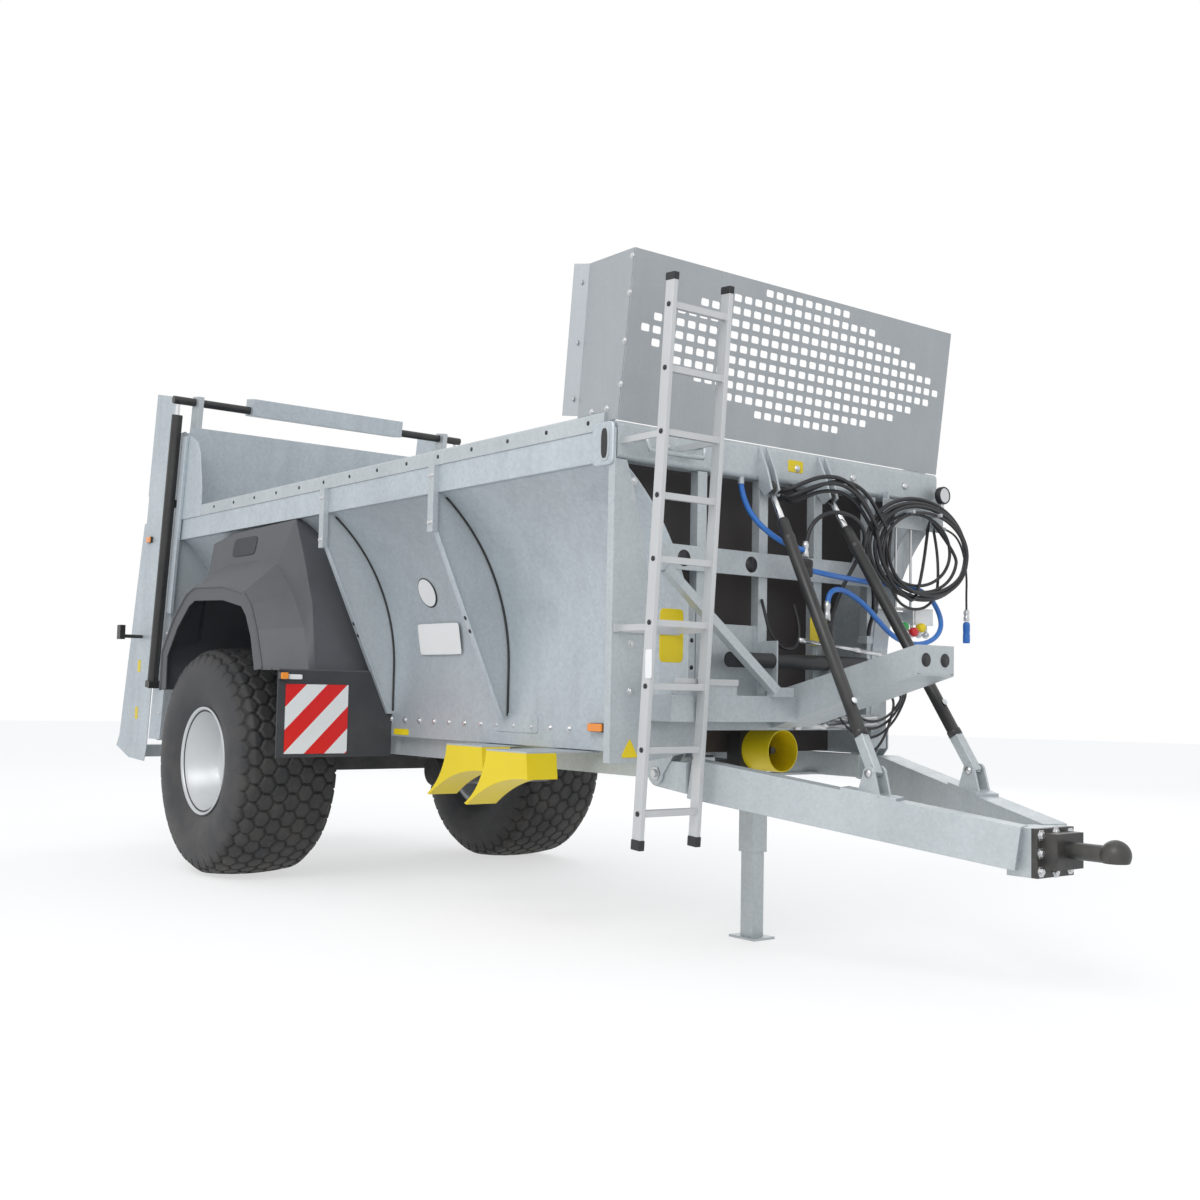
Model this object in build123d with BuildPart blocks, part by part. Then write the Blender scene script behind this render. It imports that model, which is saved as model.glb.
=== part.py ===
from build123d import *
import os
from math import cos, hypot, radians, sin, sqrt, tan

os.makedirs("parts", exist_ok=True)

# Towed single-axle manure spreader. Millimetres, +X forward to the hitch, +Y left, +Z up.
# The origin is on the ground under the middle of the overall length.

# ---- driving sizes ---------------------------------------------------------
AX = -1833.0            # axle centre along X
SIDES = (("right", -1), ("left", 1))

TYRE_R = 762.0          # 28 inch wide tyre on a 26 inch rim
HALF_TRACK = 1100.0
BEAD_R = 330.0
RIM_FLANGE_R = 362.0

WALL_T = 6.0            # side wall sheet
WALL_FOOT_Y = 660.0     # outside of the wall at the floor
WALL_FOOT_Z = 970.0
BEND_Z = 1400.0         # the wall is upright below this height
ARC_R = 1195.0          # outside radius of the hollow curve above it
BAND_Z = 2350.0         # underside of the upright band
BAND_Y = 1170.0         # outside of the band
RAIL_Z0 = 2500.0
RAIL_Z1 = 2585.0

FRONT_X = AX + 4050.0   # front face of the front frame
PANEL_X = AX + 3700.0   # front panel of the load space

# The gate, its guides and its cylinders lean forward together. Their frame has its x forward from
# the cylinders' axis and its z up along that axis.
REAR_LEAN = 8.0
REAR_X = AX - 1270.0    # the cylinders' axis at the underside of the band
rear_tilt = radians(REAR_LEAN)
REAR_PLANE = Plane(
    origin=(REAR_X, 0, BAND_Z),
    x_dir=(cos(rear_tilt), 0, -sin(rear_tilt)),
    z_dir=(sin(rear_tilt), 0, cos(rear_tilt)),
)


def rear_x(z, depth):
    """X at height z of a leaning face that stands depth forward of the cylinders' axis."""
    return REAR_X + (z - BAND_Z) * tan(rear_tilt) + depth / cos(rear_tilt)


def rear_z(z, depth=0.0):
    """Distance along the leaning frame that reaches height z at depth forward of the axis."""
    return (z - BAND_Z + depth * sin(rear_tilt)) / cos(rear_tilt)


WALL_END = 105.0        # the walls end this far forward of the cylinders' axis
WALL_X0 = rear_x(WALL_FOOT_Z, WALL_END) - 20.0

ARC_CY = WALL_FOOT_Y + ARC_R
ARC_TOP_Y = ARC_CY - sqrt(ARC_R**2 - (BAND_Z - BEND_Z)**2)


def arc_y(z, radius=ARC_R):
    """Distance from the middle to the curved wall at height z."""
    if z <= BEND_Z:
        return ARC_CY - radius
    return ARC_CY - sqrt(radius**2 - (z - BEND_Z)**2)


# ---- side walls, rails, ribs -----------------------------------------------
r_in = ARC_R + WALL_T
z_in = BAND_Z + WALL_T
z_mid = 1950.0
with BuildPart() as walls:
    for side, s in SIDES:
        with BuildSketch(Plane.YZ.offset(WALL_X0)):
            with BuildLine():
                Line((s * WALL_FOOT_Y, WALL_FOOT_Z), (s * WALL_FOOT_Y, BEND_Z))
                ThreePointArc((s * WALL_FOOT_Y, BEND_Z), (s * arc_y(z_mid), z_mid), (s * ARC_TOP_Y, BAND_Z))
                Line((s * ARC_TOP_Y, BAND_Z), (s * BAND_Y, BAND_Z))
                Line((s * BAND_Y, BAND_Z), (s * BAND_Y, RAIL_Z0))
                Line((s * BAND_Y, RAIL_Z0), (s * (BAND_Y - WALL_T), RAIL_Z0))
                Line((s * (BAND_Y - WALL_T), RAIL_Z0), (s * (BAND_Y - WALL_T), z_in))
                Line((s * (BAND_Y - WALL_T), z_in), (s * arc_y(z_in, r_in), z_in))
                ThreePointArc(
                    (s * arc_y(z_in, r_in), z_in),
                    (s * arc_y(z_mid, r_in), z_mid),
                    (s * (WALL_FOOT_Y - WALL_T), BEND_Z),
                )
                Line((s * (WALL_FOOT_Y - WALL_T), BEND_Z), (s * (WALL_FOOT_Y - WALL_T), WALL_FOOT_Z))
                Line((s * (WALL_FOOT_Y - WALL_T), WALL_FOOT_Z), (s * WALL_FOOT_Y, WALL_FOOT_Z))
            make_face()
        extrude(amount=FRONT_X - 8.0 - WALL_X0)
    with Locations(REAR_PLANE):
        with Locations((WALL_END - 300, 0, 0)):
            Box(600, 2600, 3200, mode=Mode.SUBTRACT)
walls.part.label = "side_walls"
export_step(walls.part, "parts/side_walls.step")

rail_x0 = AX - 750.0
rail_x1 = FRONT_X - 90.0
with BuildPart() as rails:
    for side, s in SIDES:
        with Locations(((rail_x0 + rail_x1) / 2, s * 1143.0, (RAIL_Z0 + RAIL_Z1) / 2)):
            Box(rail_x1 - rail_x0, 66, RAIL_Z1 - RAIL_Z0)
    fillet(rails.edges().filter_by(Axis.X).group_by(Axis.Z)[-1], radius=12)
rails.part.label = "top_rails"
export_step(rails.part, "parts/top_rails.step")

with BuildPart() as ribs:
    for side, s in SIDES:
        for rib_x in (AX + 1200.0, AX + 2480.0):
            with BuildSketch(Plane.YZ.offset(rib_x - 5)):
                with BuildLine():
                    Line((s * BAND_Y, BAND_Z), (s * BAND_Y, 2150))
                    Line((s * BAND_Y, 2150), (s * 700, 1110))
                    Line((s * 700, 1110), (s * WALL_FOOT_Y, 1110))
                    Line((s * WALL_FOOT_Y, 1110), (s * WALL_FOOT_Y, BEND_Z))
                    ThreePointArc(
                        (s * WALL_FOOT_Y, BEND_Z), (s * arc_y(1900), 1900), (s * ARC_TOP_Y, BAND_Z)
                    )
                    Line((s * ARC_TOP_Y, BAND_Z), (s * BAND_Y, BAND_Z))
                make_face()
            extrude(amount=10)
            with Locations((rib_x, s * (BAND_Y + 17), 2315)):
                Box(56, 34, 370)
ribs.part.label = "wall_ribs"
export_step(ribs.part, "parts/wall_ribs.step")

# ---- floor, conveyor, chassis ----------------------------------------------
FLOOR_T = 6.0
FLOOR_X0 = AX - 1385.0
FLOOR_X1 = PANEL_X - 65.0
with BuildPart() as floor:
    with Locations(((FLOOR_X0 + FLOOR_X1) / 2, 0, WALL_FOOT_Z + FLOOR_T / 2)):
        Box(FLOOR_X1 - FLOOR_X0, 2 * (WALL_FOOT_Y - WALL_T), FLOOR_T)
floor.part.label = "floor"
export_step(floor.part, "parts/floor.step")

CHAIN_Z0 = 884.0
CHAIN_Z1 = 1006.0
CHAIN_X0 = AX - 1430.0
CHAIN_X1 = PANEL_X - 20.0
with BuildPart() as conveyor:
    with BuildSketch(Plane.XZ.offset(-330)):
        with Locations(((CHAIN_X0 + CHAIN_X1) / 2, (CHAIN_Z0 + CHAIN_Z1) / 2)):
            RectangleRounded(CHAIN_X1 - CHAIN_X0, CHAIN_Z1 - CHAIN_Z0, 40)
            RectangleRounded(CHAIN_X1 - CHAIN_X0 - 60, CHAIN_Z1 - CHAIN_Z0 - 60, 12, mode=Mode.SUBTRACT)
    extrude(amount=60)
    with BuildSketch(Plane.XZ.offset(270)):
        with Locations(((CHAIN_X0 + CHAIN_X1) / 2, (CHAIN_Z0 + CHAIN_Z1) / 2)):
            RectangleRounded(CHAIN_X1 - CHAIN_X0, CHAIN_Z1 - CHAIN_Z0, 40)
            RectangleRounded(CHAIN_X1 - CHAIN_X0 - 60, CHAIN_Z1 - CHAIN_Z0 - 60, 12, mode=Mode.SUBTRACT)
    extrude(amount=60)
    for n in range(12):
        with Locations((CHAIN_X0 + 150 + 420.0 * n, 0, CHAIN_Z1 - 15)):
            Box(50, 1000, 30)
        with Locations((CHAIN_X0 + 150 + 420.0 * n, 0, CHAIN_Z0 + 15)):
            Box(50, 1000, 30)
conveyor.part.label = "floor_conveyor"
export_step(conveyor.part, "parts/floor_conveyor.step")

BEAM_Z0 = 850.0
BEAM_X0 = AX - 1440.0
CHOCK_W = 190.0
CHOCKS = ((AX + 2000, -690.0), (AX + 2695, -885.0))     # (back end, inner side) of each wheel chock
with BuildPart() as chassis:
    for side, s in SIDES:
        with Locations(((BEAM_X0 + FRONT_X) / 2, s * 560, (BEAM_Z0 + WALL_FOOT_Z) / 2)):
            Box(FRONT_X - BEAM_X0, 80, WALL_FOOT_Z - BEAM_Z0)
    for x, y in CHOCKS:
        with Locations((x + 380, (y - CHOCK_W - 600) / 2, 961)):
            Box(360, -600 - (y - CHOCK_W), 8)
chassis.part.label = "chassis_beams"
export_step(chassis.part, "parts/chassis_beams.step")

with BuildPart() as cross:
    for cross_x in (AX - 1100.0, AX - 350.0, AX + 350.0, AX + 1500.0, AX + 2600.0):
        with Locations((cross_x, 0, BEAM_Z0 + 13)):
            Box(80, 1040, 26)
cross.part.label = "cross_members"
export_step(cross.part, "parts/cross_members.step")

# ---- axle and wheels --------------------------------------------------------
with BuildPart() as axle:
    with Locations((AX, 0, TYRE_R)):
        Box(150, 1500, 150)
    with Locations(*[(AX, s * 560, TYRE_R + 81.5) for side, s in SIDES]):
        Box(240, 80, 13)
    for side, s in SIDES:
        with BuildSketch(Plane.XZ.offset(-s * 745)):
            with Locations((AX, TYRE_R)):
                Circle(45)
        extrude(amount=-s * 315)
axle.part.label = "axle"
export_step(axle.part, "parts/axle.step")

for side, s in SIDES:
    yc = s * HALF_TRACK
    spin = Axis((AX, 0, TYRE_R), (0, 1, 0))
    with BuildPart() as tyre:
        with BuildSketch(Plane.YZ.offset(AX)):
            with BuildLine():
                base = TYRE_R
                Line((yc - 300, base + BEAD_R), (yc - 300, base + 364))
                ThreePointArc((yc - 300, base + 364), (yc - 357, base + 540), (yc - 322, base + 700))
                Line((yc - 322, base + 700), (yc - 270, base + 742))
                ThreePointArc((yc - 270, base + 742), (yc, base + TYRE_R), (yc + 270, base + 742))
                Line((yc + 270, base + 742), (yc + 322, base + 700))
                ThreePointArc((yc + 322, base + 700), (yc + 357, base + 540), (yc + 300, base + 364))
                Line((yc + 300, base + 364), (yc + 300, base + BEAD_R))
                Line((yc + 300, base + BEAD_R), (yc + 262, base + BEAD_R))
                ThreePointArc((yc + 262, base + BEAD_R), (yc + 318, base + 540), (yc + 286, base + 680))
                Line((yc + 286, base + 680), (yc - 286, base + 680))
                ThreePointArc((yc - 286, base + 680), (yc - 318, base + 540), (yc - 262, base + BEAD_R))
                Line((yc - 262, base + BEAD_R), (yc - 300, base + BEAD_R))
            make_face()
        revolve(axis=spin)
    tyre.part.label = f"tyre_{side}"
    export_step(tyre.part, f"parts/tyre_{side}.step")

    with BuildPart() as rim:
        with BuildSketch(Plane.YZ.offset(AX)):
            with BuildLine():
                Polyline(
                    (yc + s * 312, TYRE_R + RIM_FLANGE_R),
                    (yc + s * 300, TYRE_R + RIM_FLANGE_R),
                    (yc + s * 300, TYRE_R + BEAD_R),
                    (yc - s * 300, TYRE_R + BEAD_R),
                    (yc - s * 300, TYRE_R + RIM_FLANGE_R),
                    (yc - s * 312, TYRE_R + RIM_FLANGE_R),
                    (yc - s * 312, TYRE_R + 316),
                    (yc + s * 40, TYRE_R + 316),
                    (yc + s * 10, TYRE_R + 200),
                    (yc + s * 10, TYRE_R + 130),
                    (yc - s * 200, TYRE_R + 130),
                    (yc - s * 200, TYRE_R + 210),
                    (yc - s * 320, TYRE_R + 210),
                    (yc - s * 320, TYRE_R + 47),
                    (yc - s * 35, TYRE_R + 47),
                    (yc - s * 35, TYRE_R),
                    (yc + s * 130, TYRE_R),
                    (yc + s * 130, TYRE_R + 70),
                    (yc + s * 100, TYRE_R + 90),
                    (yc + s * 24, TYRE_R + 90),
                    (yc + s * 24, TYRE_R + 200),
                    (yc + s * 56, TYRE_R + 316),
                    (yc + s * 312, TYRE_R + 316),
                    close=True,
                )
            make_face()
        revolve(axis=spin)
    rim.part.label = f"wheel_rim_{side}"
    export_step(rim.part, f"parts/wheel_rim_{side}.step")

# ---- front frame ------------------------------------------------------------
ROLL_X = FRONT_X + 60.0     # rubber roll across the front
ROLL_Z = 1445.0
ROLL_R = 38.0
POST_FOOT_Z = 950.0
POST_HEAD_Z = 2355.0
POST_RIM = 80.0         # the left plate reaches this far outside the curved wall
POST_LEFT_Y = 1135.0
with BuildPart() as posts:
    with BuildSketch(Plane.YZ.offset(FRONT_X - 8)):
        with BuildLine():
            Line((-BAND_Y, POST_FOOT_Z), (-BAND_Y, POST_HEAD_Z))
            Line((-BAND_Y, POST_HEAD_Z), (-1105, POST_HEAD_Z))
            ThreePointArc((-1105, POST_HEAD_Z), (-1008, 2040), (-951, 1700))
            Line((-951, 1700), (-951, 1180))
            Line((-951, 1180), (-654, 1180))
            Line((-654, 1180), (-654, 1000))
            Line((-654, 1000), (-990, POST_FOOT_Z))
            Line((-990, POST_FOOT_Z), (-BAND_Y, POST_FOOT_Z))
        make_face()
    extrude(amount=8)
    with Locations((FRONT_X - 22.5, -BAND_Y - 4, (POST_FOOT_Z + RAIL_Z0) / 2)):
        Box(45, 8, RAIL_Z0 - POST_FOOT_Z)
    # the left plate follows the curved wall at both of its edges
    rim_r = ARC_R - POST_RIM
    inner_r = ARC_R + 40.0
    rim_top_z = BEND_Z + sqrt(rim_r**2 - (ARC_CY - POST_LEFT_Y)**2)
    with BuildSketch(Plane.YZ.offset(FRONT_X - 8)):
        with BuildLine():
            Line((ARC_CY - inner_r, 1000), (ARC_CY - rim_r, 1000))
            Line((ARC_CY - rim_r, 1000), (ARC_CY - rim_r, BEND_Z))
            ThreePointArc((ARC_CY - rim_r, BEND_Z), (arc_y(1950, rim_r), 1950), (POST_LEFT_Y, rim_top_z))
            Line((POST_LEFT_Y, rim_top_z), (POST_LEFT_Y, POST_HEAD_Z))
            Line((POST_LEFT_Y, POST_HEAD_Z), (arc_y(POST_HEAD_Z, inner_r), POST_HEAD_Z))
            ThreePointArc(
                (arc_y(POST_HEAD_Z, inner_r), POST_HEAD_Z),
                (arc_y(1950, inner_r), 1950),
                (ARC_CY - inner_r, BEND_Z),
            )
            Line((ARC_CY - inner_r, BEND_Z), (ARC_CY - inner_r, 1000))
        make_face()
    extrude(amount=8)
    # bracket that carries the valve block beside the left plate
    with Locations((FRONT_X - 4, 900, 1720)):
        Box(8, 300, 50)
posts.part.label = "front_posts"
export_step(posts.part, "parts/front_posts.step")

with BuildPart() as top_beam:
    with BuildSketch(Plane.XZ.offset(-1162)):
        with Locations((FRONT_X - 45, 2446)):
            Rectangle(90, 180)
    extrude(amount=2324)
    fillet(top_beam.edges().filter_by(Axis.Y).group_by(Axis.X)[-1], radius=25)
    with BuildSketch(Plane.XY.offset(2326)):
        with Locations((FRONT_X - 25, -345)):
            Circle(16)
    extrude(amount=40)
top_beam.part.label = "front_top_beam"
export_step(top_beam.part, "parts/front_top_beam.step")

with BuildPart() as mid_beam:
    with Locations((FRONT_X + 1, -121, 1925)):
        Box(18, 1660, 120)
    with Locations((FRONT_X + 5, 782, 1925)):
        Box(10, 146, 120)
    with Locations((FRONT_X - 30, -17, 1140)):
        Box(60, 1274, 80)
    for y in (-620.0, -200.0, 200.0, 620.0):
        with Locations((FRONT_X - 34, y, 1767.5)):
            Box(52, 60, 1175)
    with Locations((FRONT_X - 37, -410, 1400)):
        Box(6, 360, 440)
    for y in (-200.0, 200.0):
        with Locations((FRONT_X + 46, y, 1430)):
            Box(108, 8, 230)
    with BuildSketch(Plane.XZ.offset(-490)):
        with Locations((ROLL_X, ROLL_Z)):
            Circle(ROLL_R)
    extrude(amount=980, mode=Mode.SUBTRACT)
    # blocks that the hoses screw into, on the sides of the inner uprights
    for y, z in ((-147.5, 2300.0), (252.5, 1580.0), (567.5, 1580.0)):
        with Locations((FRONT_X - 1, y, z)):
            Box(66, 45, 40)
mid_beam.part.label = "front_frame"
export_step(mid_beam.part, "parts/front_frame.step")

with BuildPart() as panel:
    with BuildSketch(Plane.YZ.offset(PANEL_X)):
        with BuildLine():
            edge = WALL_FOOT_Y - WALL_T
            r_in = ARC_R + WALL_T
            z_in = BAND_Z + WALL_T
            y_top = arc_y(z_in, r_in)
            Line((-edge, WALL_FOOT_Z + 6), (edge, WALL_FOOT_Z + 6))
            Line((edge, WALL_FOOT_Z + 6), (edge, BEND_Z))
            ThreePointArc((edge, BEND_Z), (arc_y(1900, r_in), 1900), (y_top, z_in))
            Line((y_top, z_in), (y_top, RAIL_Z0))
            Line((y_top, RAIL_Z0), (-y_top, RAIL_Z0))
            Line((-y_top, RAIL_Z0), (-y_top, z_in))
            ThreePointArc((-y_top, z_in), (-arc_y(1900, r_in), 1900), (-edge, BEND_Z))
            Line((-edge, BEND_Z), (-edge, WALL_FOOT_Z + 6))
        make_face()
    extrude(amount=8)
panel.part.label = "front_panel"
export_step(panel.part, "parts/front_panel.step")

# Perforated guard above the front beam, leaning forward.
GUARD_LEAN = 7.4
GUARD_H = 797.0
HOLE_PITCH_Y = 70.9
HOLE_PITCH_Z = 60.8
HOLE_TOP = 751.0        # the top row above the foot of the sheet
HOLE_MID_Y = 10.5
HOLE_W = 52.0
HOLE_H = 36.0
HOLE_COUNTS = (9, 15, 21, 25, 29, 31, 29, 25, 21, 15, 9)    # holes in each row, from the top down
lean = radians(GUARD_LEAN)
guard_plane = Plane(
    origin=(FRONT_X - 7, 0, 2537), x_dir=(0, 1, 0), z_dir=(cos(lean), 0, -sin(lean))
)
with BuildPart() as guard:
    with BuildSketch(guard_plane):
        with Locations((0, GUARD_H / 2)):
            Rectangle(2320, GUARD_H)
        for row, count in enumerate(HOLE_COUNTS):
            with Locations((HOLE_MID_Y, HOLE_TOP - HOLE_PITCH_Z * row)):
                with GridLocations(HOLE_PITCH_Y, 0, count, 1):
                    RectangleRounded(HOLE_W, HOLE_H, 9, mode=Mode.SUBTRACT)
    extrude(amount=4)
guard.part.label = "front_guard"
export_step(guard.part, "parts/front_guard.step")

# One wing runs back along the right top rail, with a flange folded out from its back edge.
GUARD_TOP_Z = 2537 + GUARD_H * cos(lean)
WING_X0 = AX + 3738.0
WING_X1 = AX + 3812.0
with BuildPart() as wing:
    with BuildSketch(Plane.XZ.offset(1158)):
        with BuildLine():
            Polyline(
                (FRONT_X - 8, 2540),
                (FRONT_X - 8 + (GUARD_TOP_Z - 2540) * tan(lean), GUARD_TOP_Z),
                (WING_X1, GUARD_TOP_Z),
                (WING_X0, 2587),
                (FRONT_X - 90, 2587),
                (FRONT_X - 90, 2540),
                close=True,
            )
        make_face()
    extrude(amount=4)
    back = Vector(WING_X0 + 1, -1158, 2597)
    top = Vector(WING_X1, -1158, GUARD_TOP_Z)
    out = Vector(-76, -40, 0)
    with BuildSketch(Plane(origin=back, x_dir=top - back, z_dir=(top - back).cross(out))):
        with Locations(((top - back).length / 2, out.length / 2)):
            Rectangle((top - back).length, out.length)
    extrude(amount=2, both=True)
wing.part.label = "guard_wing"
export_step(wing.part, "parts/guard_wing.step")

# ---- drawbar, coupling, struts, jack ----------------------------------------
BAR_W = 120.0
BAR_H = 185.0
bar_rear = Vector(AX + 4095, 690, 875)
bar_front = Vector(AX + 5500, 116, 656)
bar_dir = (bar_front - bar_rear).normalized()
with BuildPart() as drawbar:
    for side, s in SIDES:
        run = Vector(bar_dir.X, s * bar_dir.Y, bar_dir.Z)
        across = Vector(-s * bar_dir.Y, bar_dir.X, 0).normalized()
        bar_plane = Plane(origin=(bar_rear.X, s * bar_rear.Y, bar_rear.Z), x_dir=across, z_dir=run)
        with BuildSketch(bar_plane):
            Rectangle(BAR_W, BAR_H)
        extrude(amount=(bar_front - bar_rear).length)
        with BuildSketch(Plane.XZ.offset(-s * 762)):
            with Locations((AX + 3900, 890)):
                Circle(62)
            with BuildLine():
                Polyline(
                    (AX + 3893, 952), (AX + 4110, 952), (AX + 4110, 805), (AX + 3893, 828), close=True
                )
            make_face()
            with Locations((AX + 3900, 890)):
                Circle(21, mode=Mode.SUBTRACT)
        extrude(amount=s * 60)
    with Locations((AX + 5500, 0, 640)):
        Box(120, 262, 205)
drawbar.part.label = "drawbar"
export_step(drawbar.part, "parts/drawbar.step")

BALL_X = AX + 5868.0
BALL_Z = 655.0
with BuildPart() as coupling:
    with Locations((AX + 5575, 0, 640)):
        Box(30, 262, 205)
    with Locations((AX + 5625, 0, 650)):
        Box(70, 190, 150)
    with BuildSketch(Plane.YZ.offset(AX + 5655)):
        with Locations((0, BALL_Z)):
            Circle(36)
    extrude(amount=170)
    with Locations((BALL_X, 0, BALL_Z)):
        Sphere(62)
    with Locations((BALL_X, 0, BALL_Z - 62)):
        Box(130, 130, 60, mode=Mode.SUBTRACT)
    with Locations((BALL_X, 0, BALL_Z - 6)):
        Sphere(40.5, mode=Mode.SUBTRACT)
coupling.part.label = "ball_coupling"
export_step(coupling.part, "parts/ball_coupling.step")

# Sprung struts between the front frame and the drawbar.
STRUT_TOP = (AX + 4100, 215, 2315)
STRUT_FOOT = (AX + 4911, 356.5, 938.7)
STRUT_ROD = 200.0       # bright rod, then the barrel, then a square tube down to the pin
STRUT_BARREL = 1420.0
STRUT_TUBE = 50.0
STRUT_PIN_R = 12.0
YOKE_Y = 38.0           # middle of each yoke cheek from the middle of the pin
YOKE_T = 12.0
with BuildPart() as struts:
    for side, s in SIDES:
        top = Vector(STRUT_TOP[0], s * STRUT_TOP[1], STRUT_TOP[2])
        foot = Vector(STRUT_FOOT[0], s * STRUT_FOOT[1], STRUT_FOOT[2])
        across = Vector(0, 1, 0)
        down = (foot - top).normalized()
        length = (foot - top).length
        strut_plane = Plane(origin=top, x_dir=across - down * across.dot(down), z_dir=down)
        with BuildSketch(strut_plane):
            Circle(16)
        extrude(amount=STRUT_BARREL)
        with BuildSketch(strut_plane.offset(STRUT_ROD)):
            Circle(30)
        extrude(amount=STRUT_BARREL - STRUT_ROD)
        with BuildSketch(strut_plane.offset(STRUT_BARREL)):
            Rectangle(STRUT_TUBE, STRUT_TUBE)
        extrude(amount=length - STRUT_BARREL + 10)
        with BuildSketch(Plane(origin=foot, z_dir=across)):
            Circle(STRUT_PIN_R)
        extrude(amount=YOKE_Y + YOKE_T / 2, both=True)
        with BuildSketch(Plane.XZ.offset(-s * 215 + 15)):
            with Locations((STRUT_TOP[0], STRUT_TOP[2])):
                Circle(32)
        extrude(amount=-30)
struts.part.label = "struts"
export_step(struts.part, "parts/struts.step")

JACK_X = AX + 3700.0
JACK_Y = 90.0
with BuildPart() as jack_tube:
    with Locations((JACK_X, JACK_Y, 650)):
        Box(104, 104, 400)
        Box(92, 92, 400, mode=Mode.SUBTRACT)
    with Locations((JACK_X, 0, 856)):
        Box(120, 1040, 12)
jack_tube.part.label = "jack_tube"
export_step(jack_tube.part, "parts/jack_tube.step")

with BuildPart() as jack_leg:
    with Locations((JACK_X, JACK_Y, 286)):
        Box(84, 84, 548)
    with Locations((JACK_X, JACK_Y, 6)):
        Box(190, 150, 12)
jack_leg.part.label = "jack_leg"
export_step(jack_leg.part, "parts/jack_leg.step")

# ---- drive shaft guard ------------------------------------------------------
PTO_X0 = AX + 3810.0
PTO_Z = 992.0
with BuildPart() as pto_guard:
    with BuildSketch(Plane.YZ.offset(PTO_X0)):
        with Locations((0, PTO_Z)):
            Circle(108)
            Circle(103, mode=Mode.SUBTRACT)
    extrude(amount=190)
pto_guard.part.label = "shaft_guard"
export_step(pto_guard.part, "parts/shaft_guard.step")

with BuildPart() as gearbox:
    with Locations((PTO_X0 - 51, 0, PTO_Z)):
        Box(102, 230, 230)
    with BuildSketch(Plane.YZ.offset(PTO_X0)):
        with Locations((0, PTO_Z)):
            Circle(17.5)
    extrude(amount=120)
gearbox.part.label = "gearbox"
export_step(gearbox.part, "parts/gearbox.step")

# ---- rear frame, gate and its cylinders --------------------------------------
with BuildPart() as bulkheads:
    for side, s in SIDES:
        with BuildSketch(Plane.YZ.offset(rear_x(BEAM_Z0, 0))):
            with BuildLine():
                Line((s * WALL_FOOT_Y, BEAM_Z0), (s * WALL_FOOT_Y, BEND_Z))
                ThreePointArc((s * WALL_FOOT_Y, BEND_Z), (s * arc_y(1900), 1900), (s * ARC_TOP_Y, BAND_Z))
                Line((s * ARC_TOP_Y, BAND_Z), (s * BAND_Y, BAND_Z))
                Line((s * BAND_Y, BAND_Z), (s * BAND_Y, BEAM_Z0))
                Line((s * BAND_Y, BEAM_Z0), (s * WALL_FOOT_Y, BEAM_Z0))
            make_face()
        extrude(amount=500)
    with Locations(REAR_PLANE):
        with Locations((WALL_END - 1, 0, 0)):
            Box(8, 2600, 3400, mode=Mode.INTERSECT)
bulkheads.part.label = "rear_bulkheads"
export_step(bulkheads.part, "parts/rear_bulkheads.step")

POST_TOP = 3165.0
CHEEK_T = 8.0
CHEEK_BACK = -110.0
CHEEK_FRONT = 108.0
with BuildPart() as cheeks:
    for side, s in SIDES:
        with BuildSketch(Plane.XZ.offset(-s * BAND_Y)):
            with BuildLine():
                Polyline(
                    (rear_x(BEAM_Z0, CHEEK_BACK), BEAM_Z0), (rear_x(BEAM_Z0, CHEEK_FRONT), BEAM_Z0),
                    (rear_x(RAIL_Z0, CHEEK_FRONT), RAIL_Z0), (AX - 750, RAIL_Z0),
                    (AX - 750, 2700), (AX - 800, 2960), (AX - 860, 3060),
                    (rear_x(POST_TOP, 55), POST_TOP), (rear_x(POST_TOP, CHEEK_BACK), POST_TOP),
                    close=True,
                )
            make_face()
        extrude(amount=-s * CHEEK_T)
cheeks.part.label = "rear_cheeks"
export_step(cheeks.part, "parts/rear_cheeks.step")

post_foot = rear_z(BEAM_Z0)
post_head = rear_z(POST_TOP)
with BuildPart() as rear_posts:
    with Locations(REAR_PLANE):
        with Locations(*[(10, s * (BAND_Y - 30), (post_foot + post_head) / 2) for side, s in SIDES]):
            Box(90, 60, post_head - post_foot)
rear_posts.part.label = "rear_posts"
export_step(rear_posts.part, "parts/rear_posts.step")

GATE_DEPTH = 80.0       # middle of the gate sheet, forward of the cylinders' axis
gate_foot = rear_z(1016, GATE_DEPTH)
gate_head = rear_z(3200, GATE_DEPTH)
with BuildPart() as gate:
    with Locations(REAR_PLANE):
        with Locations((GATE_DEPTH, 0, (gate_foot + gate_head) / 2)):
            Box(8, 2300, gate_head - gate_foot)
        for z in (1055.0, 1700.0, 2350.0, 3165.0):
            with Locations((GATE_DEPTH - 9, 0, rear_z(z, GATE_DEPTH))):
                Box(14, 2100, 60)
gate.part.label = "metering_gate"
export_step(gate.part, "parts/metering_gate.step")

BAR_UP = rear_z(3400)   # the lift bar, along the cylinders' axis
BAR_HALF = 1268.0
BAR_BORE = 30.5
CYL_Y = 1228.0
bar_place = Plane(origin=REAR_PLANE.from_local_coords((0, 0, BAR_UP)), x_dir=(1, 0, 0), z_dir=(0, 1, 0))
with BuildPart() as lift_bar:
    with BuildSketch(bar_place):
        Circle(30)
    extrude(amount=BAR_HALF, both=True)
lift_bar.part.label = "gate_lift_bar"
export_step(lift_bar.part, "parts/gate_lift_bar.step")

with BuildPart() as lift_arms:
    with Locations(REAR_PLANE):
        with Locations(*[(14.5, s * 1080, 922.5) for side, s in SIDES]):
            Box(123, 40, 365)
    with BuildSketch(bar_place):
        Circle(BAR_BORE)
    extrude(amount=BAR_HALF, both=True, mode=Mode.SUBTRACT)
lift_arms.part.label = "gate_lift_arms"
export_step(lift_arms.part, "parts/gate_lift_arms.step")

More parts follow.
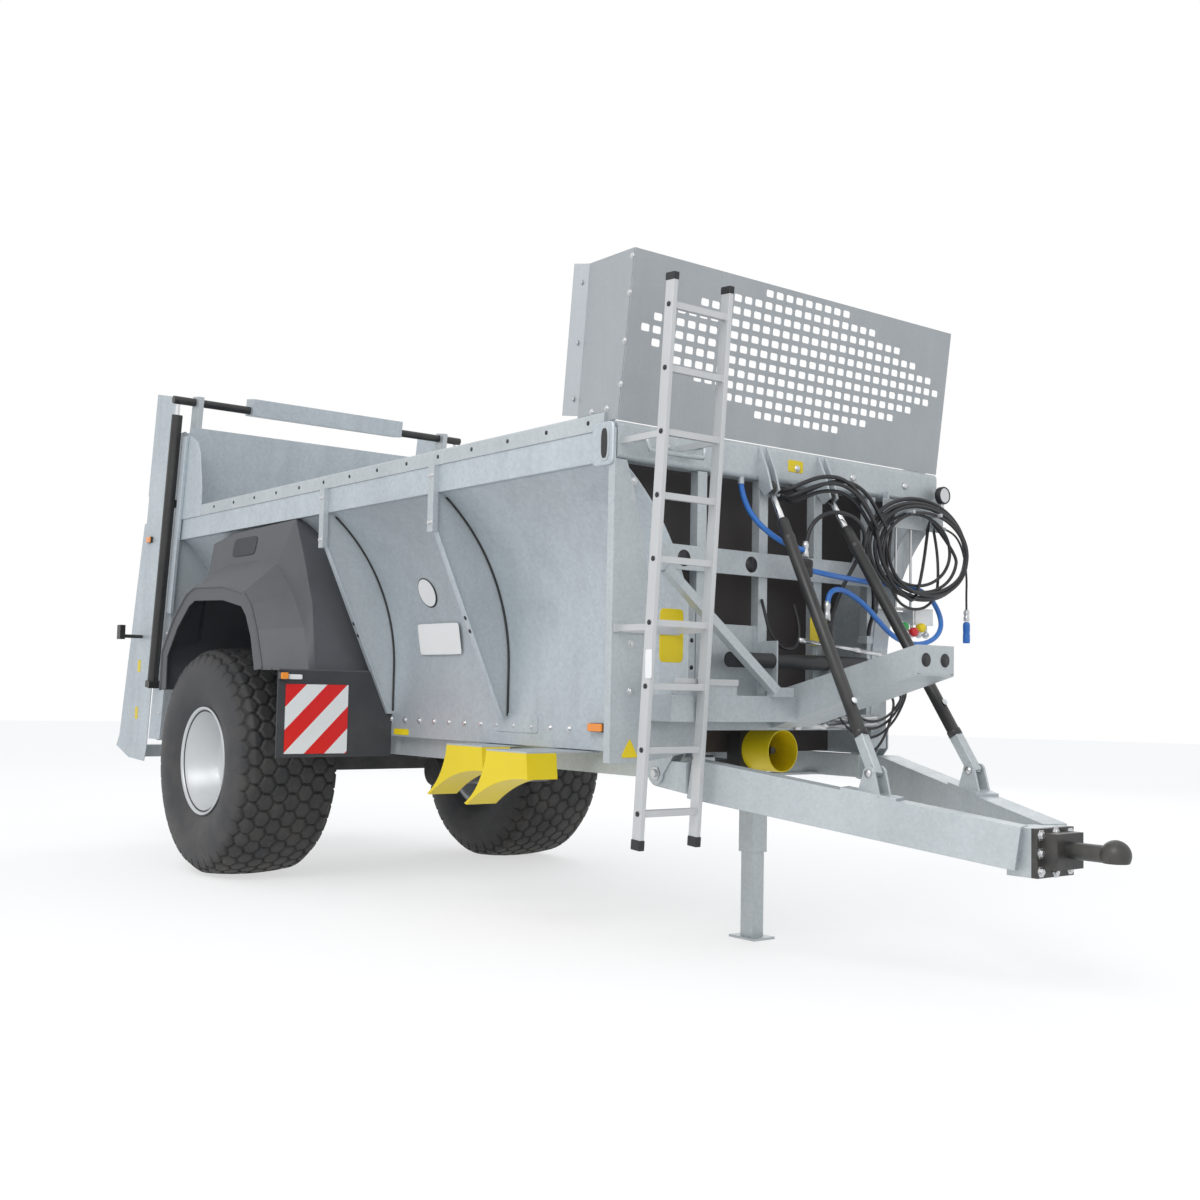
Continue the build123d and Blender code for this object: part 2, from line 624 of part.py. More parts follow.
with BuildPart() as cover:
    with Locations(REAR_PLANE):
        with Locations((0, 0, rear_z(3425))):
            Box(140, 1320, 130)
    with BuildSketch(bar_place):
        Circle(BAR_BORE)
    extrude(amount=BAR_HALF, both=True, mode=Mode.SUBTRACT)
cover.part.label = "lift_bar_cover"
export_step(cover.part, "parts/lift_bar_cover.step")

barrel_foot = rear_z(1290)
barrel_head = rear_z(3290)
with BuildPart() as barrels:
    with Locations(REAR_PLANE):
        with Locations(*[(0, s * (CYL_Y - 4), barrel_foot - 25) for side, s in SIDES]):
            Box(80, 92, 50)
        with Locations(*[(0, s * 1184, rear_z(2630)) for side, s in SIDES]):
            Box(50, 12, 60)
    with BuildSketch(REAR_PLANE.offset(barrel_foot)):
        with Locations(*[(0, s * CYL_Y) for side, s in SIDES]):
            Circle(40)
    extrude(amount=barrel_head - barrel_foot)
    with BuildSketch(REAR_PLANE.offset(barrel_foot + 40)):
        with Locations(*[(0, s * CYL_Y) for side, s in SIDES]):
            Circle(31)
    extrude(amount=barrel_head - barrel_foot, mode=Mode.SUBTRACT)
barrels.part.label = "gate_cylinders"
export_step(barrels.part, "parts/gate_cylinders.step")

rod_foot = rear_z(2230)
with BuildPart() as rods:
    with BuildSketch(REAR_PLANE.offset(rod_foot)):
        with Locations(*[(0, s * CYL_Y) for side, s in SIDES]):
            Circle(16)
    extrude(amount=BAR_UP - 30 - rod_foot)
rods.part.label = "gate_rods"
export_step(rods.part, "parts/gate_rods.step")

# ---- beater unit ---------------------------------------------------------------
HOUSING_EDGE = (
    (-1661, 3533), (-1779, 2750), (-1765, 2730), (-1790, 2530), (-1835, 2520), (-2205, 860),
    (-2263, 772), (-1986, 689), (-1663, 674), (-1620, 780), (-1378, 2630), (-1264, 3400),
    (-1300, 3460),
)
with BuildPart() as housing:
    for side, s in SIDES:
        with BuildSketch(Plane.XZ.offset(-s * 1178)):
            Polygon(*[(AX + x, z) for x, z in HOUSING_EDGE], align=None)
        extrude(amount=-s * 6)
housing.part.label = "beater_housing"
export_step(housing.part, "parts/beater_housing.step")

BEATER_LEAN = 8.0
BEATER_Y = 470.0
with BuildPart() as beater_frame:
    with Locations((AX - 1880, 0, 745)):
        Box(170, 2356, 90)
    with Locations((AX - 1580, 0, 3030)):
        Box(140, 2356, 100)
beater_frame.part.label = "beater_frame"
export_step(beater_frame.part, "parts/beater_frame.step")

tilt = radians(BEATER_LEAN)
for side, s in SIDES:
    foot_plane = Plane(
        origin=(AX - 1880, s * BEATER_Y, 806), x_dir=(0, 1, 0), z_dir=(sin(tilt), 0, cos(tilt))
    )
    with BuildPart() as beater:
        with BuildSketch(foot_plane):
            Circle(70)
        extrude(amount=2155)
        with BuildSketch(foot_plane.offset(30)):
            Circle(400)
        extrude(amount=12)
        for n in range(12):
            level = foot_plane.offset(210 + 165 * n).rotated((0, 0, s * 65.0 * n))
            with BuildSketch(level):
                with Locations((215, 0)):
                    Rectangle(310, 80)
            extrude(amount=12)
        for n in range(4):
            level = foot_plane.offset(42).rotated((0, 0, 90.0 * n))
            with BuildSketch(level):
                with Locations((240, 0)):
                    Rectangle(280, 12)
            extrude(amount=130)
    beater.part.label = f"beater_{side}"
    export_step(beater.part, f"parts/beater_{side}.step")

# ---- mudguards ----------------------------------------------------------------
# hood table: (x, z) corners of the outer edge, of the ridge and of the edge at the wall band
HOOD_OUT = (
    (-700, 1230), (-690, 1500), (-500, 1730), (-290, 1890), (-150, 1935),
    (330, 1920), (640, 1865), (755, 1775), (850, 1620), (945, 1378),
)
HOOD_MID = (
    (-700, 1230), (-692, 1560), (-590, 1860), (-397, 2062), (-150, 2100),
    (330, 2105), (610, 2065), (853, 1864), (1030, 1640), (1112, 1378),
)
HOOD_IN = (
    (-700, 1230), (-692, 1600), (-620, 1950), (-500, 2275), (-150, 2325),
    (330, 2335), (785, 2345), (905, 2120), (1050, 1790), (1118, 1378),
)
HOOD_T = 8.0
HOOD_Y = (1445.0, 1210.0, 1170.0)


def inset(points, depth, drop):
    """Points moved towards the middle of the hood by depth, its two feet dropped."""
    moved = []
    for n, (x, z) in enumerate(points):
        before = points[max(n - 1, 0)]
        after = points[min(n + 1, len(points) - 1)]
        run = hypot(after[0] - before[0], after[1] - before[1])
        nx = (after[1] - before[1]) / run
        nz = -(after[0] - before[0]) / run
        foot = drop if n in (0, len(points) - 1) else 0
        moved.append((x + nx * depth, z + nz * depth - foot))
    return moved


def hood_wire(points):
    return [(AX + x, z) for x, z in points]


with BuildPart() as mudguards:
    for side, s in SIDES:
        for points, y in zip((HOOD_OUT, HOOD_MID, HOOD_IN), HOOD_Y):
            with BuildSketch(Plane.XZ.offset(-s * y)):
                Polygon(*hood_wire(points), align=None)
        loft(ruled=True)
        with BuildSketch(Plane.XZ.offset(-s * HOOD_Y[2])):
            Polygon(*hood_wire(HOOD_IN), align=None)
        extrude(amount=s * 510)
        with BuildPart(mode=Mode.SUBTRACT):
            for points, y in zip((HOOD_OUT, HOOD_MID, HOOD_IN), HOOD_Y):
                with BuildSketch(Plane.XZ.offset(-s * (y - HOOD_T))):
                    Polygon(*hood_wire(inset(points, HOOD_T, 40)), align=None)
            loft(ruled=True)
            with BuildSketch(Plane.XZ.offset(-s * (HOOD_Y[2] - HOOD_T))):
                Polygon(*hood_wire(inset(HOOD_IN, HOOD_T, 40)), align=None)
            extrude(amount=s * 530)
        with BuildSketch(Plane.XZ.offset(-s * 1450)):
            Polygon(*hood_wire(inset(HOOD_OUT, 95, 40)), align=None)
        extrude(amount=s * 40, mode=Mode.SUBTRACT)
        with BuildSketch(Plane.YZ.offset(AX - 900)):
            with BuildLine():
                Line((0, 900), (s * WALL_FOOT_Y, 900))
                Line((s * WALL_FOOT_Y, 900), (s * WALL_FOOT_Y, BEND_Z))
                ThreePointArc((s * WALL_FOOT_Y, BEND_Z), (s * arc_y(1900), 1900), (s * ARC_TOP_Y, BAND_Z))
                Line((s * ARC_TOP_Y, BAND_Z), (s * BAND_Y, BAND_Z))
                Line((s * BAND_Y, BAND_Z), (s * BAND_Y, RAIL_Z0))
                Line((s * BAND_Y, RAIL_Z0), (0, RAIL_Z0))
                Line((0, RAIL_Z0), (0, 900))
            make_face()
        extrude(amount=2200, mode=Mode.SUBTRACT)
        with Locations((AX + (1100 + 1192) / 2, s * (660 + 1445) / 2, 1374)):
            Box(92, 785, 8)
        with Locations((AX + 1000, s * 1300, 1374)):
            Box(140, 290, 8)
mudguards.part.label = "mudguards"
export_step(mudguards.part, "parts/mudguards.step")

with BuildPart() as flaps:
    for side, s in SIDES:
        with Locations((AX + 1186, s * (WALL_FOOT_Y + 1450) / 2, (840 + 1370) / 2)):
            Box(12, 790, 530)
flaps.part.label = "mud_flaps"
export_step(flaps.part, "parts/mud_flaps.step")

SIGN = 423.0
with BuildPart() as signs:
    for side, s in SIDES:
        with Locations((AX + 1194, s * 1188.5, 1074.5)):
            Box(4, SIGN, SIGN)
signs.part.label = "warning_signs"
export_step(signs.part, "parts/warning_signs.step")

# ---- ladder ---------------------------------------------------------------------
LADDER_LEAN = 3.9
LADDER_Y = -970.0
LADDER_RAIL_Y = 170.0
RUNG_PITCH = 285.7
lad = radians(LADDER_LEAN)
ladder_plane = Plane(
    origin=(AX + 4215, LADDER_Y, 585), x_dir=(0, 1, 0), z_dir=(sin(lad), 0, cos(lad))
)
with BuildPart() as ladder:
    with BuildSketch(ladder_plane):
        with Locations((-LADDER_RAIL_Y, 0), (LADDER_RAIL_Y, 0)):
            Rectangle(24, 55)
    extrude(amount=2560)
    for n in range(9):
        with BuildSketch(ladder_plane.offset(135 + RUNG_PITCH * n)):
            Rectangle(2 * LADDER_RAIL_Y, 30)
        extrude(amount=30)
    for z, reach in ((1570.0, 4260.0), (2440.0, 4320.0)):
        for y in (-LADDER_RAIL_Y, LADDER_RAIL_Y):
            with Locations((AX + (4050 + reach) / 2, LADDER_Y + y, z)):
                Box(reach - 4050, 8, 30)
    with Locations((AX + 4054, LADDER_Y, 1570)):
        Box(8, 400, 40)
ladder.part.label = "ladder"
export_step(ladder.part, "parts/ladder.step")

# ---- drawbar hinges ---------------------------------------------------------------
with BuildPart() as brackets:
    for side, s in SIDES:
        for dy in (-33.0, 21.0):
            with BuildSketch(Plane.XZ.offset(-(s * 215 + dy))):
                with BuildLine():
                    Polyline(
                        (FRONT_X, 2530), (FRONT_X + 60, 2400), (FRONT_X + 90, 2300),
                        (FRONT_X + 40, 2270), (FRONT_X, 2320), close=True,
                    )
                make_face()
            extrude(amount=-12)
    for side, s in SIDES:
        for y in (698.0, 766.0):
            with BuildSketch(Plane.XZ.offset(-s * y - 4)):
                with BuildLine():
                    Polyline(
                        (AX + 3845, 890), (AX + 3845, 1060), (AX + 3885, 1100),
                        (FRONT_X - 8, 1100), (FRONT_X - 8, 1000), (AX + 3955, 890), close=True,
                    )
                make_face()
                with Locations((AX + 3900, 890)):
                    Circle(55)
            extrude(amount=8)
        with BuildSketch(Plane.XZ.offset(-s * 732 - 50)):
            with Locations((AX + 3900, 890)):
                Circle(20)
        extrude(amount=100)
    # a pad and a yoke on each bar take the foot of a strut
    for side, s in SIDES:
        run = Vector(bar_dir.X, s * bar_dir.Y, bar_dir.Z)
        across = Vector(-s * bar_dir.Y, bar_dir.X, 0).normalized()
        foot = Vector(STRUT_FOOT[0], s * STRUT_FOOT[1], STRUT_FOOT[2])
        rear = Vector(bar_rear.X, s * bar_rear.Y, bar_rear.Z)
        reach = (foot - rear).dot(run)
        bar_plane = Plane(origin=rear, x_dir=across, z_dir=run)
        with BuildSketch(bar_plane.offset(reach - 130)):
            with Locations((0, BAR_H / 2 + 6)):
                Rectangle(BAR_W, 12)
        extrude(amount=260)
        up = run.cross(across)
        face = rear + up * (BAR_H / 2 + 6)
        for place in (-YOKE_Y, YOKE_Y):
            y = foot.Y + place
            feet = []
            for x in (foot.X + 60, foot.X - 60):
                feet.append((x, face.Z - (up.X * (x - face.X) + up.Y * (y - face.Y)) / up.Z))
            with BuildSketch(Plane(origin=(0, y, 0), x_dir=(1, 0, 0), z_dir=(0, -1, 0))):
                with Locations((foot.X, foot.Z)):
                    Circle(32)
                with BuildLine():
                    Polyline((foot.X - 32, foot.Z), (foot.X + 32, foot.Z), feet[0], feet[1], close=True)
                make_face()
                with Locations((foot.X, foot.Z)):
                    Circle(STRUT_PIN_R, mode=Mode.SUBTRACT)
            extrude(amount=YOKE_T / 2, both=True)
brackets.part.label = "drawbar_brackets"
export_step(brackets.part, "parts/drawbar_brackets.step")

# ---- platform, brace, arm and roll at the front ---------------------------------------
STEP_X = 170.0          # the channel stands this far in front of the front frame
with BuildPart() as platform:
    with Locations((FRONT_X + STEP_X - 3, -545, 1207.5)):
        Box(6, 820, 125)
    with Locations((FRONT_X + STEP_X / 2, -545, 1267)):
        Box(STEP_X, 820, 6)
    for y in (-952.0, -138.0):
        with Locations((FRONT_X + STEP_X / 2, y, 1207.5)):
            Box(STEP_X, 6, 125)
    with Locations((FRONT_X + STEP_X - 20, -735, 1300)):
        Box(36, 390, 60)
    brace_foot = Vector(FRONT_X + STEP_X + 20, -300, 1290)
    brace_head = Vector(FRONT_X + 42, -890, 1860)
    brace_run = (brace_head - brace_foot).normalized()
    with BuildSketch(Plane(origin=brace_foot, x_dir=brace_run.cross(Vector(1, 0, 0)), z_dir=brace_run)):
        Rectangle(46, 46)
    extrude(amount=(brace_head - brace_foot).length)
    with Locations((FRONT_X + 32, -890, 1880)):
        Box(40, 70, 60)
    with Locations((FRONT_X + STEP_X + 10, -260, 1290)):
        Box(60, 130, 46)
platform.part.label = "front_platform"
export_step(platform.part, "parts/front_platform.step")

with BuildPart() as arm:
    with BuildSketch(Plane.XZ.offset(-135)):
        with BuildLine():
            Polyline(
                (FRONT_X, 1110), (AX + 4960, 1378), (AX + 4960, 1518), (FRONT_X, 1290), close=True
            )
        make_face()
    extrude(amount=270)
    with BuildSketch(Plane.XZ.offset(-129)):
        with BuildLine():
            Polyline(
                (FRONT_X - 10, 1113.4), (AX + 4970, 1387.5), (AX + 4970, 1514.5), (FRONT_X - 10, 1281),
                close=True,
            )
        make_face()
    extrude(amount=258, mode=Mode.SUBTRACT)
arm.part.label = "support_arm"
export_step(arm.part, "parts/support_arm.step")

with BuildPart() as roll:
    with BuildSketch(Plane.XZ.offset(-490)):
        with Locations((ROLL_X, ROLL_Z)):
            Circle(ROLL_R)
    extrude(amount=980)
roll.part.label = "rubber_roll"
export_step(roll.part, "parts/rubber_roll.step")

# ---- hose rack, gauge, valves -----------------------------------------------------------
with BuildPart() as rack:
    with Locations((FRONT_X + 38, 915, 2275)):
        Box(6, 510, 150)
    for y in (704.0, 1124.0):
        with Locations((FRONT_X + 20.5, y, 2360)):
            Box(41, 8, 60)
    for y in (760.0, 990.0):
        with BuildSketch(Plane.YZ.offset(FRONT_X + 41)):
            with Locations((y, 2275)):
                Circle(10)
        extrude(amount=130)
    with Locations((FRONT_X + 38, 1180, 2225)):
        Box(16, 20, 20)
rack.part.label = "hose_rack"
export_step(rack.part, "parts/hose_rack.step")

PIPE_ROWS = (645.0, 690.0, 780.0, 905.0)     # rigid pipes from the rack plate down to the valves
with BuildPart() as controls:
    with BuildSketch(Plane.YZ.offset(FRONT_X + 41)):
        with Locations((1140, 2410)):
            Circle(46)
    extrude(amount=34)
    with BuildSketch(Plane.YZ.offset(FRONT_X + 41)):
        with Locations((1140, 2345)):
            Rectangle(24, 60)
    extrude(amount=20)
    with Locations((FRONT_X + 35, 960, 1720)):
        Box(70, 170, 90)
    with Locations((FRONT_X + 27, 780, 1757.5)):
        Box(30, 320, 15)
    for y in PIPE_ROWS:
        with BuildSketch(Plane.XY.offset(1765)):
            with Locations((FRONT_X + 27, y)):
                Circle(7)
        extrude(amount=435)
    for y in (900.0, 960.0, 1020.0):
        with BuildSketch(Plane.XY.offset(1675)):
            with Locations((FRONT_X + 40, y)):
                Circle(9)
        extrude(amount=-40)
        with Locations((FRONT_X + 40, y, 1622)):
            Sphere(20)
controls.part.label = "air_controls"
export_step(controls.part, "parts/air_controls.step")

# ---- chocks, air tank, lamps ----------------------------------------------------------------
with BuildPart() as chocks:
    for x, y in CHOCKS:
        with BuildSketch(Plane.XZ.offset(-y)):
            with BuildLine():
                Line((x + 200, 957), (x + 560, 957))
                Line((x + 560, 957), (x + 575, 825))
                ThreePointArc((x + 575, 825), (x + 290, 790), (x + 25, 662))
                Line((x + 25, 662), (x, 668))
                ThreePointArc((x, 668), (x + 135, 790), (x + 200, 957))
            make_face()
        extrude(amount=CHOCK_W)
chocks.part.label = "wheel_chocks"
export_step(chocks.part, "parts/wheel_chocks.step")

with BuildPart() as tank:
    with BuildSketch(Plane.XZ.offset(-450)):
        with Locations((AX + 1350, 755)):
            Circle(90)
    extrude(amount=900)
    with Locations((AX + 1350, -400, 840), (AX + 1350, 400, 840)):
        Box(60, 320, 20)
tank.part.label = "air_tank"
export_step(tank.part, "parts/air_tank.step")

with BuildPart() as lamps:
    for side, s in SIDES:
        with Locations((AX + 1207, s * 1425, 1335)):
            Box(30, 50, 42)
        with Locations((AX + 3340, s * 672, 1090)):
            Box(130, 24, 46)
        with Locations((AX - 1690, s * 1192, 2388)):
            Box(80, 16, 46)
        with BuildSketch(Plane.XZ.offset(-s * 1184)):
            with Locations((AX - 1795, 1635)):
                Circle(14)
        extrude(amount=-s * 150)
        with Locations((AX - 1795, s * 1350, 1665)):
            Box(70, 40, 110)
lamps.part.label = "marker_lamps"
export_step(lamps.part, "parts/marker_lamps.step")

# ---- hoses -----------------------------------------------------------------------------------
# A route runs in millimetres from the fitting to the far end; FX is the front face of the frame.
FX = FRONT_X
HOSE_D = 22.0
AIR_D = 28.0
LINE_D = 12.0


def hose(name, diameter, route):
    """A round hose along straight runs joined by the largest tangent arcs they allow."""
    points = [Vector(*p) for p in route]
    radii = []
    for a, b, c in zip(points, points[1:], points[2:]):
        turn = radians((b - a).get_angle(c - b))
        radii.append(0.45 * min((b - a).length, (c - b).length) / tan(turn / 2))
    with BuildPart() as tube:
        with BuildLine() as path:
            FilletPolyline(*points, radius=radii)
        with BuildSketch(Plane(origin=path.line @ 0, z_dir=path.line % 0)):
            Circle(diameter / 2)
        sweep()
    length = path.wire().length
    runs = [round((b - a).length) for a, b in zip(points, points[1:])]
    section = 3.14159 * diameter**2 / 4
    print(name, "length", round(length), "radii", [round(r) for r in radii], "runs", runs)
    print("   volume", round(tube.part.volume), "section x length", round(section * length))
    tube.part.label = name
    export_step(tube.part, f"parts/{name}.step")


# The main hose: an arch under the top beam, a coil on the two pegs, a tail down to its fitting.
hose("hose_lead", HOSE_D, (
    (FX + 32, -148, 2300), (FX + 95, -142, 2303), (FX + 150, -85, 2340), (FX + 176, 20, 2383),
    (FX + 182, 145, 2392), (FX + 172, 265, 2360), (FX + 150, 372, 2293), (FX + 122, 480, 2190),
))
hose("hose_tail", HOSE_D, (
    (FX + 120, 462, 1978), (FX + 119, 480, 1895), (FX + 100, 520, 1790), (FX + 62, 553, 1700),
    (FX + 27, 566, 1650), (FX + 22, 567, 1600),
))
COIL_X = FX + 120.0
COIL_Y = 875.0
COIL_Z = 2075.0
COIL_RY = 445.0
COIL_RZ = 305.0
COIL_BAND = 80.0
COIL_W = 70.0
with BuildPart() as coil:
    with BuildSketch(Plane.YZ.offset(COIL_X - COIL_W / 2)):
        with Locations((COIL_Y, COIL_Z)):
            Ellipse(COIL_RY, COIL_RZ)
            Ellipse(COIL_RY - COIL_BAND, COIL_RZ - COIL_BAND, mode=Mode.SUBTRACT)
    extrude(amount=COIL_W)
coil.part.label = "hose_coil"
export_step(coil.part, "parts/hose_coil.step")

hose("hose_arch", HOSE_D, (
    (FX + 22, 252, 1600), (FX + 30, 256, 1670), (FX + 46, 285, 1760), (FX + 56, 330, 1860),
    (FX + 75, 375, 1945), (FX + 120, 398, 2030), (FX + 172, 368, 2115), (FX + 195, 285, 2180),
    (FX + 190, 180, 2212), (FX + 174, 70, 2205), (FX + 152, -12, 2150), (FX + 140, -50, 2050),
    (FX + 140, -50, 1975),
))
hose("hose_blue_short", AIR_D, (
    (FX - 25, -345, 2326), (FX - 10, -342, 2240), (FX + 45, -300, 2130), (FX + 98, -215, 2052),
    (FX + 130, -135, 2016), (FX + 140, -67, 2005),
))
hose("hose_blue_loop", AIR_D, (
    (FX + 140, -12, 1905), (FX + 138, 80, 1897), (FX + 128, 200, 1889), (FX + 100, 330, 1888),
    (FX + 66, 470, 1885), (FX + 62, 620, 1882), (FX + 60, 780, 1884), (FX + 62, 925, 1874),
    (FX + 58, 1040, 1832), (FX + 74, 1098, 1748), (FX + 98, 1088, 1665), (FX + 106, 1018, 1600),
    (FX + 108, 900, 1564), (FX + 108, 770, 1568), (FX + 108, 655, 1604), (FX + 110, 550, 1672),
    (FX + 114, 440, 1750), (FX + 118, 335, 1798), (FX + 121, 235, 1828), (FX + 123, 160, 1815),
    (FX + 124, 130, 1760), (FX + 124, 130, 1685),
))
hose("hose_line", LINE_D, (
    (FX + 38, 1190, 2225), (FX + 41, 1260, 2212), (FX + 50, 1318, 2150), (FX + 57, 1348, 2055),
    (FX + 60, 1360, 1950), (FX + 60, 1356, 1860), (FX + 60, 1358, 1780),
    (FX + 60, 1358, 1720),
))

# fittings that hang on the hoses: (x, y, top of the body, body length, cap radius, cap length,
# hose diameter, how far the hose runs in)
FITTING_R = 17.0
FITTINGS = (
    (FX + 140, -50, 2050, 90, 38, 90, HOSE_D, 75),
    (FX + 124, 130, 1760, 110, 38, 105, AIR_D, 75),
    (FX + 60, 1358, 1780, 70, 20, 120, LINE_D, 60),
)
with BuildPart() as fittings:
    for x, y, top, body, cap_r, cap, hose_d, depth in FITTINGS:
        with BuildSketch(Plane.XY.offset(top)):
            with Locations((x, y)):
                Circle(FITTING_R)
        extrude(amount=-body)
        with BuildSketch(Plane.XY.offset(top - body)):
            with Locations((x, y)):
                Circle(cap_r)
        extrude(amount=-cap)
        with BuildSketch(Plane.XY.offset(top)):
            with Locations((x, y)):
                Circle(hose_d / 2)
        extrude(amount=-depth, mode=Mode.SUBTRACT)
fittings.part.label = "hose_couplers"
export_step(fittings.part, "parts/hose_couplers.step")
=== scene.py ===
from math import cos, pi, radians, sin

import bmesh
import bpy
import numpy as np
from mathutils import Matrix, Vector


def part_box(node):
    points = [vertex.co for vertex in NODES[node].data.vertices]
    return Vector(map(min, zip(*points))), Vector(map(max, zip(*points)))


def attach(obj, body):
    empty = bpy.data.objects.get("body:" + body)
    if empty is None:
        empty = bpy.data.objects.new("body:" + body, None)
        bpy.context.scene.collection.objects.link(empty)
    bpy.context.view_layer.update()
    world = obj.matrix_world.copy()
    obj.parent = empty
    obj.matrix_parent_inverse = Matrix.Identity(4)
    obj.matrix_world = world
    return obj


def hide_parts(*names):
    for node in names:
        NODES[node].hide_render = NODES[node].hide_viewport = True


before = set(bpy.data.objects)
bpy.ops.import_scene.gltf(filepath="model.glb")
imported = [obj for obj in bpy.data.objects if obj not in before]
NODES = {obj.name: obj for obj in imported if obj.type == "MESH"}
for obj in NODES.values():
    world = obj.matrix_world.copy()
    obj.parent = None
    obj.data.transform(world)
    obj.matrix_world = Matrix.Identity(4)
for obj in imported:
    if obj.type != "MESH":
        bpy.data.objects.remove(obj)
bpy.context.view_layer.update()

# ---- places and sizes, in metres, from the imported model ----
SIDES = (("right", -1), ("left", 1))


def low(node):
    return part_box(node)[0]


def high(node):
    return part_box(node)[1]


TYRE_R = high("tyre_right").z / 2
AX = (low("tyre_right").x + high("tyre_right").x) / 2        # axle centre
HALF_TRACK = -(low("tyre_right").y + high("tyre_right").y) / 2
FX = high("front_top_beam").x                                # front face of the front frame
WALL_Y = 0.660                                               # outside of the wall at its foot
BEND_Z = 1.400                                               # the hollow curve starts here
ARC_R = 1.195                                                # radius of that curve
X_AXIS, Y_AXIS, Z_AXIS = (1, 0, 0), (0, 1, 0), (0, 0, 1)


def wall_y(z):
    """Outside of the funnel wall: upright to BEND_Z, then centre distance less the arc's own half chord."""
    rise = np.maximum(np.asarray(z, float) - BEND_Z, 0.0)
    return WALL_Y + ARC_R - np.sqrt(ARC_R**2 - rise**2)


# ---- node groups: effects shared by several materials ----
class Graph:
    """Small helper that adds nodes to one tree and wires them."""

    def __init__(self, tree):
        self.tree = tree

    def add(self, kind, **values):
        node = self.tree.nodes.new(kind)
        for key, value in values.items():
            setattr(node, key, value)
        return node

    def link(self, source, target):
        self.tree.links.new(source, target)

    def feed(self, socket, value):
        """Wires an output to a socket, or sets the socket's own value."""
        if isinstance(value, bpy.types.NodeSocket):
            self.link(value, socket)
        else:
            socket.default_value = value

    def math(self, operation, a, b=0.0, c=0.0, clamp=False):
        node = self.add("ShaderNodeMath", operation=operation, use_clamp=clamp)
        for socket, value in zip(node.inputs, (a, b, c)):
            self.feed(socket, value)
        return node.outputs[0]

    def mix(self, factor, a, b):
        node = self.add("ShaderNodeMix", data_type="RGBA")
        self.feed(node.inputs["Factor"], factor)
        self.feed(node.inputs[6], a)
        self.feed(node.inputs[7], b)
        return node.outputs[2]

    def noise(self, scale, detail, roughness, vector=None):
        node = self.add("ShaderNodeTexNoise")
        for name, value in (("Scale", scale), ("Detail", detail), ("Roughness", roughness)):
            self.feed(node.inputs[name], value)
        self.link(vector or self.place(), node.inputs["Vector"])
        return node.outputs["Fac"]

    def place(self):
        return self.add("ShaderNodeTexCoord").outputs["Object"]

    def ramp(self, value, low_edge, high_edge):
        """0 below low_edge, 1 above high_edge, smooth between."""
        node = self.add("ShaderNodeMapRange", interpolation_type="SMOOTHSTEP")
        self.feed(node.inputs["Value"], value)
        self.feed(node.inputs["From Min"], low_edge)
        self.feed(node.inputs["From Max"], high_edge)
        return node.outputs["Result"]


SOCKET_KINDS = {"color": "NodeSocketColor", "value": "NodeSocketFloat", "vector": "NodeSocketVector"}


def new_group(name, inputs, outputs):
    """An empty shader group with named sockets; inputs are (name, kind, default) and outputs (name, kind)."""
    tree = bpy.data.node_groups.new(name, "ShaderNodeTree")
    for label, kind, default in inputs:
        socket = tree.interface.new_socket(name=label, in_out="INPUT", socket_type=SOCKET_KINDS[kind])
        socket.default_value = default
    for label, kind in outputs:
        tree.interface.new_socket(name=label, in_out="OUTPUT", socket_type=SOCKET_KINDS[kind])
    graph = Graph(tree)
    return graph, graph.add("NodeGroupInput").outputs, graph.add("NodeGroupOutput").inputs


def zinc_group():
    """Spangled zinc: Voronoi crystals under two centimetres wide, blotches over them, faint long runs."""
    g, given, out = new_group(
        "ZincSpangle",
        (("Pale", "color", (0.6, 0.6, 0.6, 1)), ("Dark", "color", (0.5, 0.5, 0.5, 1)),
         ("Crystal Scale", "value", 60.0), ("Crystal Share", "value", 0.5)),
        (("Color", "color"), ("Roughness", "value"), ("Height", "value")),
    )
    where = g.place()
    cells = g.add("ShaderNodeTexVoronoi")
    g.link(where, cells.inputs["Vector"])
    g.link(given["Crystal Scale"], cells.inputs["Scale"])
    crystal = g.add("ShaderNodeSeparateColor")
    g.link(cells.outputs["Color"], crystal.inputs["Color"])
    blotch = g.noise(2.2, 4.0, 0.6)
    stretch = g.add("ShaderNodeMapping")
    g.link(where, stretch.inputs["Vector"])
    stretch.inputs["Scale"].default_value = (9.0, 9.0, 0.8)
    runs = g.noise(1.0, 3.0, 0.55, stretch.outputs["Vector"])
    fine = g.noise(190.0, 2.0, 0.6)
    share = g.math("MULTIPLY", g.math("SUBTRACT", crystal.outputs[0], 0.5), given["Crystal Share"])
    soft = g.math("MULTIPLY_ADD", blotch, 0.75, g.math("MULTIPLY", runs, 0.55))
    tone = g.math("ADD", g.math("ADD", share, soft), g.math("MULTIPLY_ADD", fine, 0.24, -0.28), clamp=True)
    g.link(g.mix(tone, given["Dark"], given["Pale"]), out["Color"])
    g.link(g.math("MULTIPLY_ADD", tone, -0.16, 0.54), out["Roughness"])
    g.link(g.math("MULTIPLY_ADD", blotch, 0.7, g.math("MULTIPLY", fine, 0.12)), out["Height"])
    return g.tree


